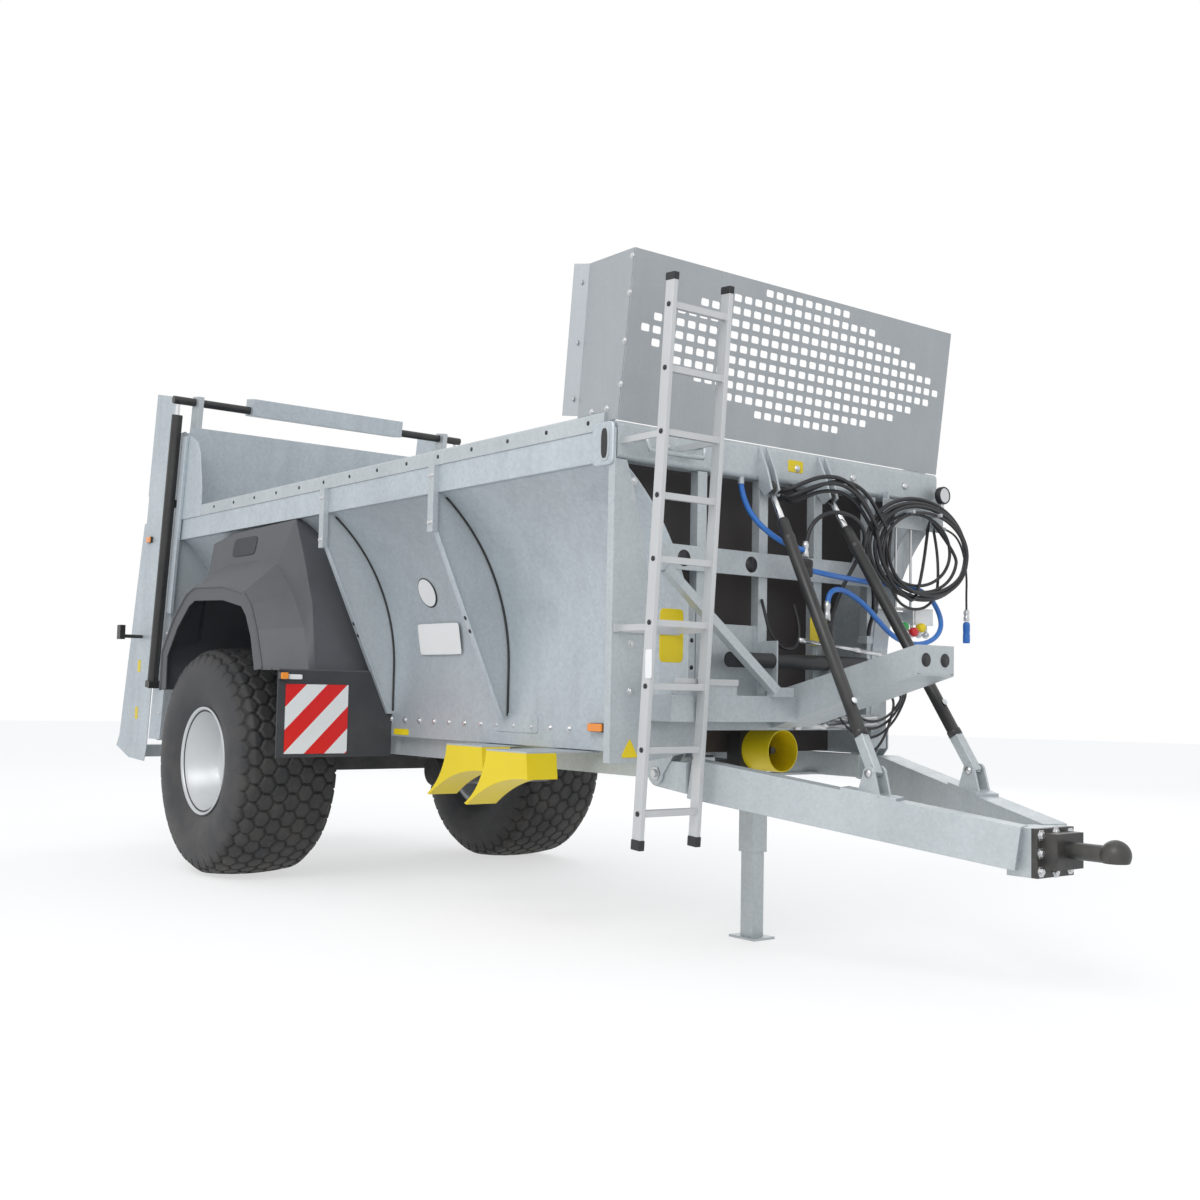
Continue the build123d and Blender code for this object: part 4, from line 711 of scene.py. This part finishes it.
UPPER = fitting("upper_coupler", (FX + 0.140, -0.050, 2.050), 0.090, 0.038, 0.090, BLACK_HOSE)
LOWER = fitting("lower_coupler", (FX + 0.124, 0.130, 1.760), 0.110, 0.038, 0.105, BLACK_HOSE)
PLUG = fitting("line_plug", (FX + 0.060, 1.358, 1.780), 0.070, 0.020, 0.120, BLUE_HOSE)


# ---- tyres and rims ----
BLOCK_ACROSS, BLOCKS_ROUND, GROOVE_W, GROOVE_DEEP = 0.090, 40, 0.022, 0.020
HALF_W, WIDEST_R, SHOULDER_R, BEAD_R = 0.357, 0.54, 0.700, 0.330
CROWN_HALF_W, CROWN_DROP = 0.27, 0.02


def tyre_section():
    """Closed section (y, r) of the tyre.

    Wall: y = HALF_W - k (r - WIDEST_R)^2, with a bead line of 4 mm at r = 0.425; crown: r = outer radius
    - CROWN_DROP (y / CROWN_HALF_W)^2; a straight shoulder joins them.
    """
    r = np.linspace(0.364, SHOULDER_R, 18)
    fall = np.where(r < WIDEST_R, 1.84, 1.367)
    wall = HALF_W - fall * (r - WIDEST_R) ** 2 + 0.004 * np.exp(-(((r - 0.425) / 0.008) ** 2))
    share = np.linspace(0, 1, 7)[1:-1]
    shoulder = np.stack([0.322 - 0.052 * share, SHOULDER_R + 0.042 * share], -1)
    y = np.linspace(-CROWN_HALF_W, CROWN_HALF_W, 50)
    crown = np.stack([y, 0.762 - CROWN_DROP * (y / CROWN_HALF_W) ** 2], -1)
    mirror = np.array([-1.0, 1.0])
    left = np.stack([wall, r], -1)
    outer = np.concatenate([left * mirror, shoulder * mirror, crown, shoulder[::-1], left[::-1]])
    half = np.array([(0.300, BEAD_R), (0.262, BEAD_R), (0.318, WIDEST_R), (0.286, 0.680)])
    inner = np.concatenate([half, half[::-1] * mirror])
    return outer, inner


def tyre(side, s):
    """The section turned about the axle, its tread cut along the borders of a staggered block lattice.

    Block centres lie BLOCK_ACROSS apart over the section and 1 / BLOCKS_ROUND of a turn apart, odd columns
    half a step on. The cut is 1 - (second nearest - nearest centre distance) / GROOVE_W, held to 0 to 1.
    """
    outer, inner = tyre_section()
    along = np.gradient(outer, axis=0)
    normal = unit(np.stack([-along[:, 1], along[:, 0]], -1))
    step = np.linalg.norm(np.diff(outer, axis=0), axis=1)
    u = np.concatenate([[0.0], np.cumsum(step)])
    u -= u[-1] / 2
    theta = np.linspace(0, 2 * pi, 800, endpoint=False)
    pitch = 2 * pi * TYRE_R / BLOCKS_ROUND
    across, around = u[:, None], (theta * TYRE_R)[None, :]
    reach = []
    for di in (-1, 0, 1):
        column = np.round(across / BLOCK_ACROSS) + di
        shift = 0.5 * np.mod(column, 2)
        for dj in (-1, 0, 1):
            row = np.round(around / pitch - shift) + dj + shift
            reach.append(np.hypot(1.15 * (across - column * BLOCK_ACROSS), around - row * pitch))
    nearest = np.sort(np.stack(reach), axis=0)
    cut = np.clip(1.0 - (nearest[1] - nearest[0]) / GROOVE_W, 0, 1)
    cut = cut * cut * (3 - 2 * cut) * np.clip((outer[:, 1] - 0.650) / 0.040, 0, 1)[:, None]
    y = outer[:, :1] - normal[:, :1] * GROOVE_DEEP * cut
    r = outer[:, 1:] - normal[:, 1:] * GROOVE_DEEP * cut
    y = np.concatenate([y, np.repeat(inner[:, :1], len(theta), 1)])
    r = np.concatenate([r, np.repeat(inner[:, 1:], len(theta), 1)])
    points = np.stack([AX - r * np.sin(theta), s * HALF_TRACK + y, TYRE_R + r * np.cos(theta)], -1)
    obj = piece("tyre_" + side + "_tread", points.reshape(-1, 3),
                grid_faces(*y.shape, close_rows=True, close_columns=True), TYRE_RUBBER, "wheel_" + side)
    wall = np.zeros(y.shape)
    wall[:len(outer)] = np.clip((0.690 - outer[:, 1:]) / 0.04, 0, 1)
    # groove depth, handed to the material as painted shade in the grooves
    grooves = np.zeros(y.shape)
    grooves[:len(outer)] = cut
    for name, values in (("groove_shade", grooves), ("side_wall", wall)):
        attribute = obj.data.attributes.new(name, "FLOAT", "POINT")
        attribute.data.foreach_set("value", values.astype(np.float32).ravel())
    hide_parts("tyre_" + side)


# rim section (radius, distance out from the middle of the tyre): drum, back, flanges, stepped dish, hub
RIM = ((0.0, -0.035), (0.047, -0.035), (0.047, -0.32), (0.21, -0.32), (0.21, -0.20), (0.13, -0.20),
       (0.13, 0.0), (0.20, 0.0), (0.262, 0.030), (0.310, -0.06), (0.316, -0.312), (0.362, -0.312),
       (0.362, -0.300), (0.330, -0.296), (0.330, 0.296), (0.356, 0.300), (0.362, 0.306), (0.360, 0.314),
       (0.350, 0.316), (0.342, 0.304), (0.336, 0.288), (0.322, 0.282), (0.318, 0.235), (0.306, 0.228),
       (0.302, 0.150), (0.286, 0.143), (0.282, 0.085), (0.268, 0.075), (0.250, 0.052), (0.215, 0.034),
       (0.190, 0.030), (0.170, 0.044), (0.112, 0.046), (0.104, 0.060), (0.098, 0.118), (0.086, 0.128),
       (0.060, 0.131), (0.056, 0.140), (0.0, 0.140))
NUTS, NUT_CIRCLE_R = 10, 0.1375
for side, s in SIDES:
    tyre(side, s)
    hub = np.array([AX, s * HALF_TRACK, TYRE_R])
    rim = turned("rim_" + side, [hub], (0, s, 0), RIM, 96, RIM_STEEL, "wheel_" + side)
    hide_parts("wheel_rim_" + side)
    t = np.linspace(0, 2 * pi, NUTS, endpoint=False)
    ring = np.stack([NUT_CIRCLE_R * np.cos(t), np.full(NUTS, s * 0.045), NUT_CIRCLE_R * np.sin(t)], -1)
    bolts("wheel_nuts_" + side, hub + ring, (0, s, 0), 0.016, "wheel_" + side)
    valve = ((0, 0), (0.008, 0), (0.008, 0.03), (0.005, 0.035), (0.005, 0.06), (0, 0.06))
    turned("valve_" + side, [hub + (0, s * 0.075, -0.275)], (0, s, 0), valve, 10, VALVE_BLACK,
           "wheel_" + side)


# ---- struts ----
STRUT_TOP = np.array([(FX + 0.050, s * 0.215, 2.315) for side, s in SIDES])
STRUT_FOOT = np.array([(AX + 4.911, s * 0.3565, 0.9387) for side, s in SIDES])
STRUT_RUN = STRUT_FOOT - STRUT_TOP
STRUT_LONG = float(np.linalg.norm(STRUT_RUN[0]))
ROD = ((0, 0), (0.016, 0), (0.016, 0.26), (0, 0.26))
BARREL = ((0, 0.20), (0.020, 0.20), (0.026, 0.206), (0.030, 0.215), (0.030, 0.300), (0.033, 0.304),
          (0.033, 0.330), (0.030, 0.334), (0.030, 1.385), (0.034, 1.390), (0.034, 1.418), (0, 1.418))
EYE = ((0, -0.015), (0.030, -0.015), (0.032, -0.012), (0.032, 0.012), (0.030, 0.015), (0, 0.015))
PIN = ((0, -0.052), (0.018, -0.052), (0.018, -0.044), (0.012, -0.044), (0.012, 0.044), (0.018, 0.044),
       (0.018, 0.052), (0, 0.052))
turned("strut_rods", STRUT_TOP, STRUT_RUN, ROD, 24, CHROME_ROD)
turned("strut_barrels", STRUT_TOP, STRUT_RUN, BARREL, 32, BLACK_STEEL)
turned("strut_eyes", STRUT_TOP, Y_AXIS, EYE, 28, BLACK_STEEL)
turned("strut_pins", STRUT_FOOT, Y_AXIS, PIN, 20, BRIGHT)
TUBE_START, TUBE_PAST_PIN = 1.415, 0.010         # distances along the strut
tubes = bars("strut_tubes", STRUT_TOP + STRUT_RUN * TUBE_START / STRUT_LONG,
             STRUT_FOOT + STRUT_RUN * TUBE_PAST_PIN / STRUT_LONG, 0.050, 0.050, ZINC_FRAME, up=X_AXIS,
             bevel=0.004)
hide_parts("struts")
turned("grease_balls", STRUT_TOP + STRUT_RUN * 0.78 + (0.028, 0, 0.018), (1, 0, 0.6), np.array(DOME) * 0.011,
       16, WHITE_PLATE)


# ---- bolts ----
def on_wall(xs, z, s):
    """Points on the outside of the funnel wall at height z."""
    return np.stack([AX + xs, np.full(len(xs), s * float(wall_y(z))), np.full(len(xs), z)], -1)


REAR_SLOPE = 0.1405                              # the rear leans forward by this much for each metre up
RIBS = (("rear", 1.2), ("front", 2.48))          # each wall rib, ahead of the axle
for side, s in SIDES:
    out = (0, s, 0)
    bolts("floor_bolts_" + side, on_wall(1.19 + 0.170 * np.arange(12), 1.075, s), out, 0.012)
    rails = np.array([(AX - 0.515 + 0.335 * n, s * high("top_rails").y, 2.545) for n in range(14)])
    turned("rail_holes_" + side, rails, out, disc(0.011), 18, HOLE_SHADE)
    cheek = [(AX - 1.208 + REAR_SLOPE * (z - 2.35), s * 1.178, z)
             for z in (1.05, 1.35, 1.65, 1.95, 2.25, 2.55, 2.85, 3.10)]
    bolts("cheek_bolts_" + side, cheek, out, 0.012)
    for name, x in RIBS:
        rib = [(AX + x + dx, s * 1.204, z) for z in (2.18, 2.44) for dx in (-0.014, 0.014)]
        bolts("rib_bolts_" + name + "_" + side, rib, out, 0.009)
WING_BOLTS = ((3.845, 2.600), (3.96, 2.600), (4.062, 2.70), (4.085, 2.90), (4.115, 3.12), (4.130, 3.29))
bolts("wing_bolts", [(AX + x, -1.162, z) for x, z in WING_BOLTS], (0, -1, 0), 0.010)
bolts("wing_flange_bolts", [(AX + 3.715 + 0.0885 * (z - 2.6), -1.177, z) for z in (2.68, 2.95, 3.24)],
      (-0.46, -0.885, 0), 0.008)
turned("beam_dots", [(FX, y, 2.442) for y in (0.03, 0.458, 0.886, -0.86)], X_AXIS, np.array(DOME) * 0.014, 12,
       BRIGHT)
bolts("post_bolts", [(FX, -1.06, z) for z in (2.26, 1.50, 1.28)], X_AXIS, 0.012)
bolts("mid_beam_bolts", [(FX + 0.010, y, z) for y in (-0.915, 0.66) for z in (1.895, 1.955)], X_AXIS, 0.012)
bolts("coupling_bolts", [(AX + 5.590, y, z) for y in (-0.105, 0.105) for z in (0.565, 0.64, 0.715)]
      + [(AX + 5.590, 0.0, z) for z in (0.557, 0.722)], X_AXIS, 0.015)
bolts("hinge_bolts", [(AX + 3.9, s * 0.772, 0.89) for side, s in SIDES], (0, -1, 0), 0.020)
for side, s in SIDES:
    bolts("hinge_plate_bolts_" + side, [(AX + x, s * 0.770, 1.075) for x in (3.91, 4.0)], (0, s, 0), 0.012)


# ---- plates, stickers and lamps ----
WALL_SLOPE = (0.0, -0.379, 0.925)
plaque("speed_disc_edge", (AX + 1.738, -0.7530, 1.853), (0.190, 0.190, 0.003), BLACK_METAL, up=WALL_SLOPE,
       corner=2.0)
plaque("speed_disc", (AX + 1.738, -0.7570, 1.853), (0.174, 0.174, 0.002), WHITE_PLATE, up=WALL_SLOPE,
       corner=2.0)
plaque("wall_label", (AX + 1.785, -0.690, 1.575), (0.465, 0.190, 0.002), WHITE_PLATE, up=(0, -0.16, 0.987),
       corner=24.0)
plaque("patch_plate", (AX + 2.573, -0.660, 1.092), (0.414, 0.105, 0.005), ZINC_SHEET, corner=14.0)
plaque("wall_sticker", (AX + 1.316, -0.660, 0.999), (0.180, 0.038, 0.002), YELLOW_PART)
plaque("beam_sticker", (FX, 0.018, 2.452), (0.110, 0.062, 0.002), YELLOW_PART, across=Y_AXIS)
plaque("panel_sticker_right", (FX + 0.001, -0.815, 1.548), (0.150, 0.255, 0.002), YELLOW_PART, across=Y_AXIS)
plaque("panel_sticker_middle", (FX + 0.001, 0.20, 1.61), (0.130, 0.150, 0.002), YELLOW_PART, across=Y_AXIS)
plaque("ladder_label", (AX + 4.286, -1.153, 1.404), (0.045, 0.130, 0.002), WHITE_PLATE)
# name, ahead of the axle, out from the middle, up, size, skin, corner, and whether it faces forwards
PAIRED_PLATES = (
    ("rear_sticker_high_", -1.830, 1.184, 1.406, (0.055, 0.095, 0.002), YELLOW_PART, 10.0, False),
    ("rear_sticker_low_", -1.850, 1.184, 1.039, (0.055, 0.095, 0.002), YELLOW_PART, 10.0, False),
    ("wall_lamp_", 3.320, 0.684, 1.090, (0.120, 0.042, 0.012), ORANGE_LENS, 8.0, False),
    ("rear_lamp_", -1.690, 1.200, 2.388, (0.078, 0.044, 0.010), ORANGE_LENS, 8.0, False),
    ("flap_lamp_", 1.222, 1.425, 1.335, (0.048, 0.040, 0.010), ORANGE_LENS, 6.0, True),
    ("flap_reflector_", 1.194, 1.340, 1.330, (0.090, 0.030, 0.008), WHITE_LENS, 8.0, True),
)
for side, s in SIDES:
    for name, ahead, out, z, size, skin, corner, forwards in PAIRED_PLATES:
        plaque(name + side, (AX + ahead, s * out, z), size, skin,
               across=Y_AXIS if forwards else (s * -1.0, 0, 0), corner=corner)


def triangle_plate(name, centre, size, thick, skin):
    """A three-cornered plate with soft corners: radius size / max over the sides of cos(t - side angle)."""
    t = np.linspace(0, 2 * pi, 36, endpoint=False)
    sides = np.radians([270.0, 30.0, 150.0])
    reach = 1.0 / np.max(np.cos(t[:, None] - sides[None, :]), axis=1)
    reach = size * np.minimum(reach, 1.8)
    y, z = reach * np.cos(t), reach * np.sin(t)
    rows = ((0.0, 1.0), (1.0, 1.0), (1.0, 0.0), (0.0, 0.0))
    points = np.array([np.stack([np.full(36, h * thick), k * y, k * z], -1) + np.array(centre)
                       for k, h in rows])
    return piece(name, points.reshape(-1, 3), grid_faces(4, 36, close_columns=True), skin, smooth=False,
                 weld=True)


triangle_plate("post_triangle", (FX, -1.06, 1.005), 0.030, 0.002, YELLOW_PART)

# ---- painted shadow lines beside the wall ribs ----
for name, x in RIBS:
    for side, s in SIDES:
        heights = np.linspace(1.13, 2.33, 40)
        line = [(AX + x + 0.009, s * (float(wall_y(z)) + 0.001), z) for z in heights]
        # painted shadow: a thin black strip along each rib for the shadow line behind it
        carried("rib_shadow_line_" + name + "_" + side, line, ring_profile(0.008, 10), CAPS_AND_SHADOW_BLACK, up=X_AXIS)
        top, foot = np.array([AX + x, s * 1.170, 2.150]), np.array([AX + x, s * 0.700, 1.110])
        bars("rib_flange_" + name + "_" + side, [top], [foot], 0.008, 0.044, ZINC_SHEET, up=X_AXIS)
        holes = [top + k * (foot - top) for k in (0.46, 0.53)]
        turned("rib_holes_" + name + "_" + side, holes, (0, s * 0.911, -0.412), disc(0.012, 0.0055), 18,
               HOLE_SHADE)

# ---- ladder caps, gauge, knobs, valves ----
LEAN = radians(3.9)                           # of the rails, top forwards
RAIL_HALF_GAP = 0.17                          # middle plane to the middle of a rail
FIRST_RUNG, RUNG_PITCH = 0.150, 0.2857        # along a rail, from its foot
along = np.array([sin(LEAN), 0.0, cos(LEAN)])
ladder_foot = np.array([AX + 4.215, -0.970, 0.585])
rails = np.array([ladder_foot + (0, dy, 0) for dy in (-RAIL_HALF_GAP, RAIL_HALF_GAP)])
bars("ladder_caps_top", rails + 2.545 * along, rails + 2.580 * along, 0.032, 0.062, CAPS_AND_SHADOW_BLACK,
     up=X_AXIS, bevel=0.004)
bars("ladder_caps_foot", rails - 0.012 * along, rails + 0.035 * along, 0.032, 0.062, CAPS_AND_SHADOW_BLACK,
     up=X_AXIS, bevel=0.004)
rungs = np.array([rails[0] + (FIRST_RUNG + RUNG_PITCH * n) * along - (0, 0.013, 0) for n in range(9)])
# painted shade inside the open rung ends
turned("rung_holes", rungs, (0, -1, 0), disc(0.012), 18, RUNG_END_SHADE)
GAUGE = np.array([FX + 0.041, 1.140, 2.410])
turned("gauge_case", [GAUGE], X_AXIS, ((0, 0), (0.046, 0), (0.050, 0.006), (0.050, 0.030), (0.047, 0.036),
                                          (0.041, 0.036), (0.041, 0.031), (0, 0.031)), 36, BLACK_METAL)
plaque("gauge_face", GAUGE + (0.031, 0, 0), (0.080, 0.080, 0.002), WHITE_PLATE, across=Y_AXIS, corner=2.0)
KNOB = ((0, 0), (0.008, 0), (0.008, 0.012), (0.021, 0.018), (0.025, 0.030), (0.025, 0.044), (0.019, 0.054),
        (0, 0.056))
KNOB_PLACES = (("red", 0.840, 1.640, RED), ("yellow", 0.905, 1.665, YELLOW), ("green", 0.760, 1.665, GREEN))
for name, y, z, paint in KNOB_PLACES:
    turned("knob_" + name, [(FX + 0.070, y, z)], (1, 0, -0.25), KNOB, 24, (paint, "yellow_plastic"))
plaque("valve_face", (FX + 0.070, 0.965, 1.715), (0.150, 0.085, 0.004), WHITE_PLATE, across=Y_AXIS,
       corner=8.0)
turned("beam_holes", [(FX + 0.010, y, 1.922) for y in (-0.75, -0.30)], X_AXIS, disc(0.040), 32, HOLE_SHADE)
turned("arm_holes", [(AX + 4.961, y, 1.450) for y in (-0.068, 0.068)], X_AXIS, disc(0.032), 28,
       HOLE_SHADE)


# ---- more hoses, cables and pipes ----
def strand(name, points, diameter=0.020):
    """One more hose or cable of the bundle, as a smooth curve; it has no solid of its own."""
    return hose_curve(name, points, diameter, BLACK_HOSE)


strand("arch_strand_a", np.array(LEAD) + (0.006, 0.014, -0.034))
strand("arch_strand_b", np.vstack([(-0.020, -0.110, 2.330), np.array(LEAD[1:]) + (-0.030, 0.040, -0.066)]))
strand("arch_strand_c", np.vstack([(-0.020, 0.010, 2.350), np.array(LEAD[1:]) + (-0.012, 0.100, -0.012)]))


RACK_ENDS = ((0.030, 0.760, 2.300), (0.030, 1.060, 2.280))


def loose_turns(name, centre, wide, tall, depth, start, turns, diameter):
    """Loose turns of a hose: an ellipse round centre whose half axes swell and shift as the angle runs."""
    angle = np.radians(np.arange(start, start + 360.0 * turns, 25.0))
    share = (angle - angle[0]) / (angle[-1] - angle[0])
    y = centre[0] + 0.020 * np.sin(0.8 * angle) + (wide[0] + (wide[1] - wide[0]) * share) * np.cos(angle)
    z = centre[1] - 0.020 * share + (tall[0] + (tall[1] - tall[0]) * share) * np.sin(angle)
    x = depth[0] + (depth[1] - depth[0]) * share
    path = np.vstack([RACK_ENDS[0], np.stack([x, y, z], -1), RACK_ENDS[1]])
    return strand(name, path, diameter)


loose_turns("loop_strand_a", (0.850, 2.080), (0.300, 0.350), (0.190, 0.225), (0.098, 0.126), 150.0, 1.6,
            0.018)
loose_turns("loop_strand_b", (0.905, 2.055), (0.345, 0.400), (0.215, 0.262), (0.150, 0.138), 170.0, 1.3,
            0.018)
strand("low_loop", ((0.030, 0.690, 2.260), (0.110, 0.600, 2.040), (0.120, 0.610, 1.900),
                    (0.110, 0.690, 1.790), (0.105, 0.810, 1.750), (0.105, 0.940, 1.765),
                    (0.100, 1.040, 1.840), (0.080, 1.080, 1.960), (0.060, 1.090, 2.120),
                    (0.030, 1.090, 2.240)), 0.016)
strand("cable_loop", ((0.000, -0.215, 1.750), (0.050, -0.245, 1.690), (0.070, -0.225, 1.580),
                      (0.070, -0.140, 1.505), (0.065, -0.040, 1.510), (0.050, 0.010, 1.570),
                      (0.030, 0.020, 1.660), (0.004, 0.010, 1.740)), 0.016)
for n, (sag, depth) in enumerate(((0.26, 0.020), (0.20, 0.045), (0.15, 0.070), (0.30, 0.060))):
    y = np.linspace(0.24 + 0.03 * n, 0.90 - 0.05 * n, 9)
    drop = sag * np.sin(pi * np.linspace(0, 1, 9)) ** 0.7
    sag_line = np.stack([np.full(9, depth), y, 1.315 - 0.01 * n - drop], -1)
    ends = sag_line[[0, -1]] * (0, 1, 1) + (-0.020, 0, 0.02)
    strand("slack_hose_%d" % n, np.vstack([ends[0], sag_line, ends[1]]), 0.014)
PIPE = ((0, 0), (0.014, 0), (0.014, 0.05), (0.011, 0.052), (0.011, 0.20), (0.016, 0.202), (0.016, 0.24),
        (0.011, 0.242), (0.011, 0.42), (0.016, 0.422), (0.016, 0.46), (0.011, 0.462), (0.011, 0.60),
        (0.014, 0.602), (0.014, 0.64), (0, 0.64))
turned("cross_pipe", [(FX + 0.062, -0.010, 1.556)], (0, 1, -0.086), PIPE, 18, BRIGHT)
low_pipes = [(FX + 0.013, 0.02, 1.115), (FX + 0.013, 0.02, 1.150)]
turned("low_pipes", low_pipes, (0, 1, 0.02), PIPE, 18, BRIGHT)

# ---- corner casting, handle, strip, arm plate ----
CORNER = np.array([AX + 3.968, -1.176, 2.430])
plaque("corner_casting", CORNER, (0.160, 0.205, 0.014), ZINC_SHEET, corner=7.0)
plaque("corner_slot_rim", CORNER + (0.020, -0.014, 0.0), (0.066, 0.165, 0.004), ZINC_FRAME, corner=3.0)
# painted shade inside the slot
plaque("corner_slot", CORNER + (0.020, -0.018, 0.0), (0.044, 0.140, 0.002), HOLE_SHADE, corner=3.0)
HANDLE = at_front(((0.0, -1.024, 2.470), (0.045, -1.024, 2.465), (0.052, -1.022, 2.440),
                   (0.052, -1.010, 2.408), (0.052, -0.840, 2.405), (0.052, -0.675, 2.408),
                   (0.052, -0.662, 2.440), (0.045, -0.660, 2.465), (0.0, -0.660, 2.470)))
carried("beam_handle", HANDLE, ring_profile(0.012), ZINC_FRAME)
bars("panel_strip", [(FX + 0.004, -0.690, 1.290)], [(FX + 0.004, -0.690, 1.700)], 0.006, 0.045, ZINC_FRAME,
     up=Y_AXIS)
turned("strip_holes", [(FX + 0.007, -0.690, z) for z in (1.40, 1.53)], X_AXIS,
       disc(0.011), 18, HOLE_SHADE)
plaque("arm_end_plate", (AX + 4.955, 0.0, 1.450), (0.262, 0.132, 0.006), ZINC_FRAME, across=Y_AXIS,
       corner=16.0)
bars("yellow_rod", [(FX + 0.020, -0.905, 1.205)], [(FX + 0.020, -0.700, 1.190)], 0.016, 0.016, YELLOW_PART)
bars("step_edge", [(FX + 0.174, -0.940, 1.330)], [(FX + 0.174, -0.540, 1.330)], 0.010, 0.030, LADDER_METAL)
for side, s in SIDES:
    recess_up = (0.0, s * -0.171, 0.985)
    # painted shade: a darker plate on the guard plastic for the shaded recess
    plaque("hood_recess_shade_" + side, (AX + 0.070, s * 1.192, 2.215), (0.360, 0.130, 0.003), RECESS_SHADE,
           across=(s * -1.0, 0, 0), up=recess_up, corner=7.0)
    edge = np.array([(-0.700, 1.230), (-0.690, 1.500), (-0.500, 1.730), (-0.290, 1.890), (-0.150, 1.935),
                     (0.330, 1.920), (0.640, 1.865), (0.755, 1.775), (0.850, 1.620), (0.945, 1.378)])
    lip = np.stack([AX + edge[:, 0], np.full(len(edge), s * 1.445), edge[:, 1] - 0.004], -1)
    share = np.linspace(0, len(edge) - 1, 90)
    lip = np.stack([np.interp(share, np.arange(len(edge)), lip[:, k]) for k in range(3)], -1)
    carried("hood_lip_" + side, lip, ring_profile(0.009, 10), HOOD_PLASTIC)
    channel = [(AX - 1.230, s * 1.190, 1.80), (AX - 1.045, s * 1.190, 3.12)]
    bars("cheek_channel_" + side, channel[:1], channel[1:], 0.026, 0.070, ZINC_SHEET,
         up=X_AXIS, bevel=0.004)


# ---- floor, light and background ----
FLOOR_GLOW = 1.22                             # strength of the plain white part of the floor
GLOW_SHARE = 0.50                             # that part's share of what the camera sees
SKY_STRENGTH = 1.0


def seen_directly(graph):
    """1 for rays that reach the surface from the camera, a mirror or glass."""
    path = graph.add("ShaderNodeLightPath").outputs
    either = graph.math("MAXIMUM", path["Is Camera Ray"], path["Is Glossy Ray"])
    return graph.math("MAXIMUM", either, path["Is Transmission Ray"])


def make_floor():
    """A wide pale disc at wheel level, part lit and part plain white, so that only the shadow shows."""
    t = np.linspace(0, 2 * pi, 64, endpoint=False)
    rings = np.array([0.0, 6.0, 14.0, 40.0])
    points = np.stack([np.outer(rings, np.cos(t)), np.outer(rings, np.sin(t)), np.zeros((4, 64))], -1)
    mesh = bpy.data.meshes.new("floor_plane")
    mesh.from_pydata(points.reshape(-1, 3).tolist(), [], grid_faces(4, 64, close_columns=True).tolist())
    floor = new_object("floor_plane", mesh)
    material = bpy.data.materials.new("pale_floor")
    material.use_nodes = True
    tree = material.node_tree
    g = Graph(tree)
    shader = tree.nodes["Principled BSDF"]
    shader.inputs["Base Color"].default_value = rgb(0.80, 0.80, 0.80)
    shader.inputs["Roughness"].default_value = 0.9
    shader.inputs["Specular IOR Level"].default_value = 0.1
    glow = g.add("ShaderNodeEmission")
    glow.inputs["Color"].default_value = rgb(1.0, 1.0, 1.0)
    glow.inputs["Strength"].default_value = FLOOR_GLOW
    blend = g.add("ShaderNodeMixShader")
    g.link(g.math("MULTIPLY", seen_directly(g), GLOW_SHARE), blend.inputs["Fac"])
    g.link(shader.outputs[0], blend.inputs[1])
    g.link(glow.outputs[0], blend.inputs[2])
    g.link(blend.outputs[0], tree.nodes["Material Output"].inputs["Surface"])
    mesh.materials.append(material)


def make_light():
    """An even pale sky, a broad key from the front right above, and a weaker fill from the left."""
    world = bpy.data.worlds.new("pale_sky")
    bpy.context.scene.world = world
    world.use_nodes = True
    g = Graph(world.node_tree)
    background = world.node_tree.nodes["Background"]
    g.link(g.mix(seen_directly(g), rgb(0.78, 0.81, 0.84), rgb(1.0, 1.0, 1.0)), background.inputs["Color"])
    background.inputs["Strength"].default_value = SKY_STRENGTH
    for name, place, aim, size, power in (
        ("key", (6.0, -9.0, 9.0), (0.5, 0.0, 1.2), 6.0, 640.0),
        ("fill", (-6.0, 8.0, 7.0), (0.0, 0.0, 1.0), 8.0, 220.0),
    ):
        lamp = bpy.data.lights.new(name, "AREA")
        lamp.size = size
        lamp.energy = power
        e1, e2, e3 = frames(np.array(place)[None] - np.array(aim)[None])
        matrix = np.eye(4)
        matrix[:3, :3] = np.stack([e1[0], e2[0], e3[0]], 1)
        matrix[:3, 3] = place
        new_object(name, lamp, matrix)


make_floor()
make_light()
bpy.context.scene.view_settings.view_transform = "Standard"
